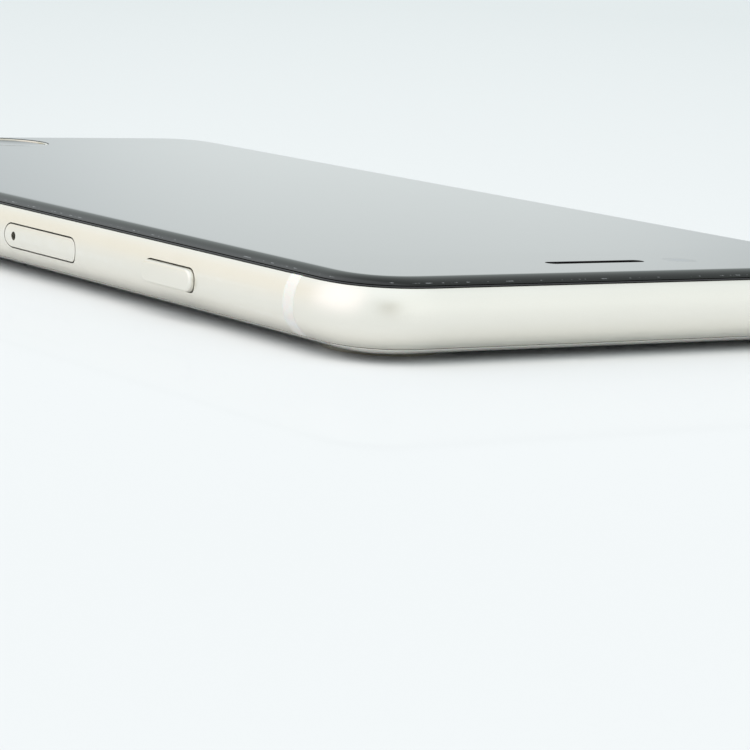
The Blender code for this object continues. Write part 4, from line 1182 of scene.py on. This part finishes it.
def model_button(node, body, name):
    low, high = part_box(node)
    sign = 1 if high.x > 0 else -1
    outer = sign * max(abs(low.x), abs(high.x))
    inner = sign * min(abs(low.x), abs(high.x))
    centre = (low + high) / 2
    neck = inner + sign * BUTTON_FLANGE
    cap = rounded_block(
        name,
        (min(neck, outer), centre.y - BUTTON_LONG / 2, centre.z - BUTTON_HIGH / 2),
        (max(neck, outer), centre.y + BUTTON_LONG / 2, centre.z + BUTTON_HIGH / 2),
        BUTTON_HIGH / 2, X,
    )
    edit(cap)
    pick("FACE", facing(X, -sign))
    grow = (1, (high.y - low.y) / BUTTON_LONG, (high.z - low.z) / BUTTON_HIGH)
    push(0, X)
    bpy.ops.transform.resize(value=grow, center_override=(neck, centre.y, centre.z))
    push(-sign * BUTTON_FLANGE, X)
    looks_out = facing(X, sign)
    pick("FACE", lambda face: looks_out(face) and abs(face.calc_center_median().x - outer) < 1e-6)
    bpy.ops.mesh.bevel(offset=BUTTON_RIM, segments=5, affect="EDGES")
    leave()
    return settle(smooth(cap), "champagne_aluminium", [node], body)


model_button("side_button", "lock_button", "lock_button_cap")
model_button("volume_up_button", "volume_up", "volume_up_cap")
model_button("volume_down_button", "volume_down", "volume_down_cap")

# %% [markdown]
# The ring switch slides towards the back of the phone. When it does, an orange mark shows in the part of the
# slot that it leaves. The slider has a shallow groove across its face for a fingernail.

# %% Model the ring switch
slider = rounded_block("ring_slider_cap", switch_low, switch_high, SWITCH_HIGH / 2, X)
edit(slider)
pick("FACE", facing(X, -1))
bpy.ops.mesh.bevel(offset=0.2 * MM, segments=4, affect="EDGES")
pick("FACE", facing(X, -1))
bpy.ops.mesh.inset(thickness=0.35 * MM)
bpy.ops.mesh.inset(thickness=0.12 * MM, depth=-0.10 * MM)
leave()
settle(smooth(slider), "champagne_aluminium", ["ring_switch"], "ring_slider")

body_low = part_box("ring_switch_body")[0]
mark = rounded_block(
    "silent_mark",
    (switch_high.x + 0.02 * MM, switch_low.y + 0.2 * MM, MIDDLE),
    (body_low.x - 0.02 * MM, switch_high.y - 0.2 * MM, switch_high.z + 0.1 * MM),
    0.5 * MM, X,
)
settle(soften(mark, 0.05 * MM), "warning_orange")

# %% [markdown]
# ## The SIM tray
# The tray's face has to follow the curve of the rail, so a rounded block that is too tall is cut with a copy
# of the pebble, and only what both share is kept. The pin hole near one end goes right through the face, to
# the ejector's rod, and the copy is scored on both sides of it first, as the rail was beside its slots.

# %% Cut the SIM tray's face
rod = middle_of("sim_eject_rod")
card_low, card_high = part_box("sim_card")
PIN_RADIUS = 0.45 * MM
PIN_MARGIN = 0.13 * MM
FACE_THICK = 1.0 * MM

tray = rounded_block(
    "tray",
    (HALF_WIDTH - FACE_THICK, tray_y - TRAY_LONG / 2, MIDDLE - TRAY_HIGH / 2),
    (HALF_WIDTH + OVERSHOOT, tray_y + TRAY_LONG / 2, MIDDLE + TRAY_HIGH / 2),
    TRAY_HIGH / 2, X, segments=16,
)
rail_curve = copy_of(pebble, "rail_curve")
for way in (1, -1):
    score(rail_curve, Y, rod.y + way * (PIN_RADIUS + PIN_MARGIN))
carve(tray, rail_curve, "INTERSECT")
carve(tray, round_bar("pin", (HALF_WIDTH, rod.y, rod.z), PIN_RADIUS, 6 * OVERSHOOT, X, sides=32))
print(f"tray face: {len(tray.data.polygons)} faces")

# %% [markdown]
# The flat holder behind the face has a pocket for the card, with a window in its floor for the contacts.
# It's joined to the face before any edge is softened, because a union of two bevelled shapes can lose one of
# them.

# %% Model the card holder
reader_low, reader_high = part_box("sim_reader")
READER_MARGIN = 0.65 * MM
CARD_FRAME_THICK = 0.9 * MM
WINDOW_GRIP = 0.35 * MM
neck_low = (card_low.y + card_high.y) / 2 - (reader_high.y - reader_low.y - READER_MARGIN) / 2
neck_high = neck_low + reader_high.y - reader_low.y - READER_MARGIN
holder = rounded_block(
    "card_frame",
    (tray_low.x, neck_low, MIDDLE - CARD_FRAME_THICK / 2),
    (HALF_WIDTH - FACE_THICK + 0.2 * MM, neck_high, MIDDLE + CARD_FRAME_THICK / 2),
    1.2 * MM, Z,
)
hollows = (
    ("pocket", 0.08 * MM, card_low.z - 0.02 * MM),
    ("window", -WINDOW_GRIP, MIDDLE - 2 * OVERSHOOT),
)
for name, grown, foot in hollows:
    cutter = rounded_block(
        name,
        (card_low.x - grown, card_low.y - grown, foot),
        (card_high.x + grown, card_high.y + grown, MIDDLE + 2 * OVERSHOOT),
        0.9 * MM, Z,
    )
    carve(holder, cutter)
carve(tray, holder, "UNION")
settle(soften(tray, 0.04 * MM), "champagne_aluminium", ["sim_tray"], "sim_drawer")

# %% [markdown]
# The card is cut to the smallest standard size, with one corner cut off so that it only fits one way. Its
# chip shows as eight gold contacts in two columns. One is modelled, and the rest are copies of it, each
# moved on by a step.

# %% Model the SIM card and its contacts
card = rounded_block("sim_card_blank", card_low, card_high, 0.8 * MM, Z)
edit(card)
bpy.ops.mesh.select_all(action="SELECT")
cut_place = Vector((card_low.x + 1.6 * MM, card_high.y, 0))
bpy.ops.mesh.bisect(
    plane_co=cut_place, plane_no=(-1, 1, 0), clear_outer=True, use_fill=True, threshold=SAME_PLACE
)
leave()
settle(soften(card, 0.06 * MM), "rear_glass_cream", ["sim_card"], "sim_drawer")



def copy_moved(piece, name, step):
    """Copies a finished shape, and moves the copy's mesh by a step."""
    twin = copy_of(piece, name)
    twin.data.transform(Matrix.Translation(step))
    return twin


card_middle = (card_low + card_high) / 2
COLUMNS, ROWS = 2, 4
COLUMN_PITCH = 4.6 * MM
ROW_PITCH = 1.62 * MM
contact_half = Vector((1.9 * MM, 0.75 * MM, 0))
first = Vector((card_middle.x - COLUMN_PITCH / 2, card_middle.y - 1.5 * ROW_PITCH, card_low.z))
contact = rounded_block(
    "card_contact", first - contact_half - toward(Z, 0.015 * MM), first + contact_half + toward(Z, 0.05 * MM),
    0.3 * MM, Z, segments=4,
)
soften(contact, 0.01 * MM, segments=1)
for row in range(ROWS):
    for column in range(COLUMNS):
        step = Vector((column * COLUMN_PITCH, row * ROW_PITCH, 0))
        one = copy_moved(contact, f"card_contact_{row}_{column}", step)
        settle(one, "gold_contact", body="sim_drawer")
bpy.data.objects.remove(contact)

# %% [markdown]
# A rubber seal sits behind the tray's face and keeps water out. The holder's neck and the ejector's rod go
# through it.

# %% Mould the tray's seal
NECK_PLAY = 0.05 * MM
neck_rise = CARD_FRAME_THICK / 2 + NECK_PLAY
seal_low, seal_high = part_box("sim_tray_seal")
seal = rounded_block("tray_seal", seal_low, seal_high, (seal_high.z - seal_low.z) / 2, X)
neck_hole = rounded_block(
    "neck_hole",
    (seal_low.x - OVERSHOOT, neck_low - NECK_PLAY, MIDDLE - neck_rise),
    (seal_high.x + OVERSHOOT, neck_high + NECK_PLAY, MIDDLE + neck_rise),
    0.2 * MM, X,
)
carve(seal, neck_hole)
pin_hole = round_bar("pin", (seal_low.x, rod.y, rod.z), PIN_RADIUS + 0.1 * MM, 3 * OVERSHOOT, X, sides=24)
carve(seal, pin_hole)
settle(soften(seal, 0.12 * MM, segments=3), "seal_rubber", ["sim_tray_seal"], "sim_drawer")

# %% [markdown]
# ## The home button
# The home button is a disc of hard glass, dished so that a thumb finds it, inside a bright ring. The dish is
# five insets, which follow a shallow bowl. Seen from above the ring is a narrow chamfer.

# %% Model the home button
DISH_STEPS = 6
DISH_DEPTH = 0.16 * MM
# After a bevel, slivers look the same way as the face itself, but they are smaller than this in square metres.
SLIVER = 1e-6

disc_low, disc_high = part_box("home_button")
disc = round_bar("home_disc", HOME, HOME_RADIUS, disc_high.z - disc_low.z, sides=FINE_ROUND)
edit(disc)
pick("FACE", facing(Z, 1))
bpy.ops.mesh.bevel(offset=0.08 * MM, segments=3, affect="EDGES")
ring_step = (HOME_RADIUS - 0.2 * MM) / DISH_STEPS
pick("FACE", facing(Z, 1, SLIVER))
for step in range(DISH_STEPS - 1):
    outer_share = 1 - step / DISH_STEPS
    inner_share = 1 - (step + 1) / DISH_STEPS
    bpy.ops.mesh.inset(thickness=ring_step, depth=-DISH_DEPTH * (outer_share**2 - inner_share**2))
leave()
settle(smooth(disc, 40), "front_glass_black", ["home_button"])

ring_low, ring_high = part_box("home_button_ring")
ring_middle = (HOME.x, HOME.y, (ring_low.z + ring_high.z) / 2)
home_ring = round_bar("home_ring", ring_middle, HOME_RING_RADIUS, ring_high.z - ring_low.z, sides=FINE_ROUND)
bore_through(home_ring, HOME_RING_RADIUS - HOME_RADIUS - 0.03 * MM)
settle(soften(home_ring, 0.12 * MM), "polished_steel", ["home_button_ring"])

# %% [markdown]
# ## The earpiece
# The earpiece slot has a woven mesh a little below the face, held in a shallow tray with a rim.

# %% Model the earpiece mesh
ear_low, ear_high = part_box("earpiece_mesh")
ear_mesh = rounded_block("earpiece_grille", ear_low, ear_high, (ear_high.y - ear_low.y) / 2, Z)
edit(ear_mesh)
pick("FACE", facing(Z, 1))
bpy.ops.mesh.inset(thickness=0.12 * MM)
bpy.ops.mesh.inset(thickness=0.06 * MM, depth=-0.07 * MM)
leave()
settle(smooth(ear_mesh), "acoustic_mesh", ["earpiece_mesh"])

# %% [markdown]
# ## The rear camera
# The rear camera stands proud inside a turned steel ring. The ring is a bar whose lower face is bevelled at
# the rim, inset, and pushed up to make a seat for the sapphire window. Then it's opened right through. Its
# wide flange inside the phone keeps it from falling out.

# %% Turn the camera ring
turned_low, turned_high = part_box("camera_ring")
SEAT_RADIUS = (camera_high.x - camera_low.x) / 2
SEAT_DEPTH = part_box("camera_lens_cover")[1].z + 0.03 * MM
WINDOW_RADIUS = 4.1 * MM
FLANGE_RADIUS = (turned_high.x - turned_low.x) / 2
FLANGE_FOOT = 1.42 * MM
RING_RIM = 0.16 * MM
SEAT_PLAY = 0.03 * MM
STEP_IN = 0.01 * MM

ring_middle = (CAMERA.x, CAMERA.y, FLANGE_FOOT / 2)
ring = round_bar("camera_surround", ring_middle, CAMERA_RADIUS, FLANGE_FOOT, sides=FINE_ROUND)
edit(ring)
pick("FACE", facing(Z, -1))
bpy.ops.mesh.bevel(offset=RING_RIM, segments=3, affect="EDGES")
pick("FACE", facing(Z, -1, SLIVER))
bpy.ops.mesh.inset(thickness=CAMERA_RADIUS - RING_RIM - SEAT_RADIUS - SEAT_PLAY)
push(SEAT_DEPTH)
bpy.ops.mesh.inset(thickness=SEAT_RADIUS - WINDOW_RADIUS)
bpy.ops.mesh.delete(type="FACE")
pick("FACE", facing(Z, 1))
bpy.ops.mesh.inset(thickness=STEP_IN)
push(0)
grow = FLANGE_RADIUS / (CAMERA_RADIUS - STEP_IN)
bpy.ops.transform.resize(value=(grow, grow, 1), center_override=(CAMERA.x, CAMERA.y, FLANGE_FOOT))
push(turned_high.z - FLANGE_FOOT)
bpy.ops.mesh.inset(thickness=FLANGE_RADIUS - WINDOW_RADIUS)
bpy.ops.mesh.delete(type="FACE")
bridge_rims()
leave()
settle(smooth(ring, 25), "polished_steel", ["camera_ring"])

window = round_bar("sapphire_window", CAMERA, SEAT_RADIUS, camera_high.z - camera_low.z, sides=FINE_ROUND)
settle(soften(window, 0.04 * MM), "clear_glass", ["camera_lens_cover"])

# %% [markdown]
# Behind the window, a black printed ring hides everything but the lens. The barrel steps down in three
# shallow rings towards the front lens, which is a low dome with a coloured coating.

# %% Model the lens barrel
PRINT_INNER = 3.1 * MM
print_place = (CAMERA.x, CAMERA.y, camera_high.z + 0.05 * MM)
print_ring = round_bar("window_print", print_place, WINDOW_RADIUS - 0.02 * MM, 0.06 * MM, sides=FINE_ROUND)
bore_through(print_ring, WINDOW_RADIUS - PRINT_INNER)
settle(smooth(print_ring), "black_plastic")

lens_low, lens_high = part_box("rear_camera_lens")
LENS_RADIUS = (lens_high.x - lens_low.x) / 2
# The barrel's rings, from the rim inwards: how wide each is, and how far it steps in, in millimetres.
BARREL_STEPS = ((0.5, 0.0), (0.12, -0.12), (0.25, 0.0), (0.12, -0.12), (0.2, 0.0), (0.1, -0.15))
barrel_middle = (lens_low + lens_high) / 2
barrel = round_bar("lens_barrel", barrel_middle, LENS_RADIUS, lens_high.z - lens_low.z, sides=FINE_ROUND)
edit(barrel)
pick("FACE", facing(Z, -1))
for width, depth in BARREL_STEPS:
    bpy.ops.mesh.inset(thickness=width * MM, depth=depth * MM)
leave()
settle(soften(barrel, 0.04 * MM), "black_plastic", ["rear_camera_lens"], "focus_lens")

LENS_FRONT = lens_low.z + 0.39 * MM
DOME_RADIUS = 4.0 * MM
dome = add(
    bpy.ops.mesh.primitive_uv_sphere_add, "front_element",
    segments=64, ring_count=32, radius=DOME_RADIUS, location=(CAMERA.x, CAMERA.y, LENS_FRONT + 3.75 * MM),
)
bake_place(dome)
slice_off(dome, Z, LENS_FRONT + 0.12 * MM, 1)
settle(smooth(dome), "coated_lens", body="focus_lens")

# %% [markdown]
# The flash is a small disc whose face is moulded with rings that spread the light. Each ring is two insets,
# one up and one down. The microphone beside it has a disc of woven mesh.

# %% Model the flash and the rear microphone
FLASH_RINGS = 5
RING_RISE = 0.03 * MM
flash = round_bar("flash_lens", FLASH, FLASH_RADIUS, flash_high.z - flash_low.z, sides=64)
edit(flash)
pick("FACE", facing(Z, -1))
bpy.ops.mesh.bevel(offset=0.1 * MM, segments=3, affect="EDGES")
pick("FACE", facing(Z, -1, SLIVER))
for ridge in range(FLASH_RINGS):
    bpy.ops.mesh.inset(thickness=0.22 * MM, depth=RING_RISE)
    bpy.ops.mesh.inset(thickness=0.10 * MM, depth=-RING_RISE)
leave()
settle(smooth(flash, 60), "frosted_lens", ["flash_window"])

mic_low, mic_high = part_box("rear_microphone_mesh")
rear_mic = round_bar("rear_mic_grille", REAR_MIC, REAR_MIC_RADIUS - 0.02 * MM, mic_high.z - mic_low.z, sides=32)
settle(soften(rear_mic, 0.03 * MM), "acoustic_mesh", ["rear_microphone_mesh"])

# %% [markdown]
# ## The bottom end's fittings
# The port is a drawn steel tube. Its mouth is inset and pushed in, which leaves a thin wall with a floor at
# the end. A tongue of eight gold pads lies on the floor of the tube.

# %% Model the charging port
PORT_WALL = 0.25 * MM
PORT_DEPTH = 7.2 * MM
port = rounded_block("port_shell", port_low, port_high, (port_high.z - port_low.z) / 2, Y, segments=16)
edit(port)
pick("FACE", facing(Y, -1))
bpy.ops.mesh.inset(thickness=PORT_WALL)
push(PORT_DEPTH, Y)
leave()
settle(soften(port, 0.05 * MM), "sheet_steel", ["charging_port"])

contact_low, contact_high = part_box("charging_port_contacts")
tongue_high = contact_high - toward(Z, 0.08 * MM)
tongue = rounded_block("port_tongue", contact_low, tongue_high, 0.3 * MM, Z, segments=4)
settle(soften(tongue, 0.05 * MM), "black_plastic", ["charging_port_contacts"])
PAD_COUNT = 8
pad_pitch = (contact_high.x - contact_low.x) / PAD_COUNT
first = contact_low.x + pad_pitch / 2
pad = rounded_block(
    "port_pad",
    (first - 0.2 * MM, contact_low.y + 0.5 * MM, contact_high.z - 0.12 * MM),
    (first + 0.2 * MM, contact_high.y - 0.6 * MM, contact_high.z),
    0.15 * MM, Z, segments=4,
)
soften(pad, 0.03 * MM)
for index in range(PAD_COUNT):
    settle(copy_moved(pad, f"port_pad_{index}", toward(X, index * pad_pitch)), "gold_contact")
bpy.data.objects.remove(pad)

# %% [markdown]
# Each screw has a head with a rounded rim and a six-sided socket, and a thinner shank behind it, which is
# inset and extruded from the head. Behind the sound holes lie two strips of woven mesh.

# %% Model the screws and the sound meshes
HEAD_LONG = 0.6 * MM
for name, sign in (("bottom_screw_left", -1), ("bottom_screw_right", 1)):
    low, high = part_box(name)
    head_middle = (sign * SCREW_X, low.y + HEAD_LONG / 2, MIDDLE)
    screw = round_bar(f"{name}_head", head_middle, SCREW_RADIUS, HEAD_LONG, Y)
    edit(screw)
    pick("FACE", facing(Y, -1))
    bpy.ops.mesh.bevel(offset=0.15 * MM, segments=4, affect="EDGES")
    pick("FACE", facing(Y, 1))
    bpy.ops.mesh.inset(thickness=0.25 * MM)
    push(high.y - low.y - HEAD_LONG, Y)
    leave()
    carve(screw, round_bar("drive", (sign * SCREW_X, low.y, MIDDLE), 0.42 * MM, 0.7 * MM, Y, sides=6))
    settle(soften(screw, 0.03 * MM), "polished_steel", [name])

for name in ("speaker_mesh", "microphone_mesh"):
    low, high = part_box(name)
    strip = rounded_block(f"{name}_strip", low, high, 0.4 * MM, Y, segments=6)
    settle(soften(strip, 0.04 * MM), "acoustic_mesh", [name])

# %% [markdown]
# ## Pieces inside
# The battery, boards, shields and modules keep the frame's own shapes, which are right as they are. Each
# only needs its finish, read from its slot in the record.

# %% Finish the carried-over nodes
slot_of_node = {part["node"]: part["material_slot"] for part in frame["record"]["subparts"]}
for name, node in frame["nodes"].items():
    finish = slot_of_node[name]
    finish = "champagne_aluminium" if finish == "anodised_frame" else finish
    node.data.materials.clear()
    node.data.materials.append(FINISH[finish])
bpy.data.objects.remove(pebble)
print(f"{len(slot_of_node)} nodes have their finishes")

# %% [markdown]
# ## The table
# The phone lies on a smooth white sheet. It's all but matt, with a very thin gloss that mirrors the phone
# faintly. Less light reaches the sheet behind the phone, so its colour is painted darker with distance that
# way, as painted shade.

# %% Lay the table
# The painted shade on the sheet darkens along this direction, and is full this many metres out.
BACKWARDS = (-0.574, -0.819, 0)
BACK_EDGE = 0.9

table = add(bpy.ops.mesh.primitive_plane_add, "table", size=8)
edit(table)
bpy.ops.mesh.select_all(action="SELECT")
bpy.ops.mesh.subdivide(number_cuts=3)
leave()
tree, shader = new_finish("white_sheet", Specular_IOR_Level=0.0, Coat_Weight=0.07, Coat_Roughness=0.03)
grain = placed(tree, GRAIN, Size=0.0008, Drift=0.15)
back = {0: object_place(tree), 1: BACKWARDS}
away = make(tree, "ShaderNodeVectorMath", back, operation="DOT_PRODUCT").outputs["Value"]
near_tone = blend_colours(tree, grain["Tone"], (0.686, 0.713, 0.737), (0.696, 0.723, 0.747))
# Painted shade: the sheet's colour falls towards a darker, bluer tone with distance behind the phone.
painted_shade_share = calc(tree, "POWER", remap(tree, away, 0.0, BACK_EDGE), 0.5)
tone = blend_colours(tree, painted_shade_share, near_tone, (0.583, 0.624, 0.644))
feed(tree, shader, Base_Color=tone, Roughness=remap(tree, grain["Height"], 0.2, 0.8, 0.5, 0.6))
table.data.materials.append(FINISH["white_sheet"])
measured(table)

# %% [markdown]
# ## Light
# A phone on a white set is lit from everywhere, so the world itself does most of the lighting. Metal and
# glass show what is round them, so that is painted on the sky as soft round patches: a grey wall behind the
# phone, a bright strip low on it that the screen mirrors, a dark backdrop above, pale paper in front, a
# window to the right with something warm and dim beside it, and the viewer. A very wide sun adds warm light
# from above, which makes the shadow under the phone. It's hidden from reflections, so it burns no spot into
# the metal.

# %% Light the scene
world = bpy.data.worlds.new("soft_room")
bpy.context.scene.world = world
world.use_nodes = True
sky = world.node_tree
direction = make(sky, "ShaderNodeTexCoord").outputs["Generated"]
height = height_of(sky, direction)
# The backdrop starts above the edge of the paper, between these two heights.
PAPER_EDGE = (0.15, 0.20)
# Each patch has a bearing and a rise, an inner and an outer edge, and a colour.
PATCHES = {
    "rear wall": (215.4, 5, 25, 50, (0.87, 0.935, 0.95)),
    "rear strip": (215.4, 6, 1, 8, (1.06, 1.13, 1.13)),
    "backdrop": (238, 32, 30, 46, (0.50, 0.55, 0.54)),
    "front paper": (-5, 8, 12, 50, (1.07, 1.12, 1.13)),
    "window": (108, 22, 24, 50, (1.30, 1.28, 1.31)),
    "warm corner": (158, 8, 10, 24, (0.90, 0.88, 0.78)),
    "viewer": (22, 14, 4, 18, (0.60, 0.60, 0.55)),
}


def patch(bearing, rise, inner, outer):
    """A soft round patch of sky. The bearing turns from +Y towards +X, and all four are in degrees."""
    turn, lift = math.radians(bearing), math.radians(rise)
    aim = (math.sin(turn) * math.cos(lift), math.cos(turn) * math.cos(lift), math.sin(lift))
    near = make(sky, "ShaderNodeVectorMath", {0: direction, 1: aim}, operation="DOT_PRODUCT").outputs["Value"]
    faded, full = (math.cos(math.radians(angle)) for angle in (outer, inner))
    ramp = {"Value": near, "From Min": faded, "From Max": full}
    return make(sky, "ShaderNodeMapRange", ramp, interpolation_type="SMOOTHSTEP").outputs["Result"]


glow = blend_colours(sky, remap(sky, height, 0.42, 0.77), (0.94, 0.995, 1.01), (1.06, 1.12, 1.15))
for name, (bearing, rise, inner, outer, colour) in PATCHES.items():
    share = patch(bearing, rise, inner, outer)
    if name == "backdrop":
        share = calc(sky, "MULTIPLY", share, remap(sky, height, *PAPER_EDGE))
    glow = blend_colours(sky, share, glow, colour)
background = sky.nodes["Background"]
sky.links.new(glow, background.inputs["Color"])
background.inputs["Strength"].default_value = 1.0

lamp_data = bpy.data.lights.new("overhead", "SUN")
lamp_data.energy = 1.25
lamp_data.color = (1.0, 0.90, 0.78)
lamp_data.angle = math.radians(50)
lamp = bpy.data.objects.new("overhead", lamp_data)
lamp.rotation_euler = Vector((0.35, 0.35, 1)).to_track_quat("Z", "Y").to_euler()
lamp.visible_glossy = False
bpy.context.scene.collection.objects.link(lamp)
print(f"{len(PATCHES)} patches of sky and a sun {math.degrees(lamp_data.angle):.0f} degrees wide")

# %% [markdown]
# ## The camera
# The camera is close to the table, with a long lens, and looks along the phone from its earpiece end. It's
# turned a few degrees about its own axis.

# %% Place the camera
HEADING = math.radians(-34.99)
DIP = math.radians(8.58)
ROLL = math.radians(3.34)
EYE = (0.19109, 0.29696, 0.04157)
LENS = 152.86
SENSOR_WIDTH = 36

ahead = Vector((math.sin(HEADING) * math.cos(DIP), -math.cos(HEADING) * math.cos(DIP), -math.sin(DIP)))
level_right = ahead.cross(UP).normalized()
level_up = level_right.cross(ahead)
right = level_right * math.cos(ROLL) + level_up * math.sin(ROLL)
above = level_up * math.cos(ROLL) - level_right * math.sin(ROLL)
camera_data = bpy.data.cameras.new("camera")
camera_data.lens = LENS
camera_data.sensor_width = SENSOR_WIDTH
camera = bpy.data.objects.new("camera", camera_data)
turn = Matrix((right, above, -ahead)).transposed().to_4x4()
camera.matrix_world = Matrix.Translation(EYE) @ turn
bpy.context.scene.collection.objects.link(camera)
bpy.context.scene.camera = camera
bpy.context.scene.view_settings.view_transform = "Standard"
print(f"a {LENS} mm lens, {Vector(EYE).length * 100:.0f} cm from the middle of the phone")
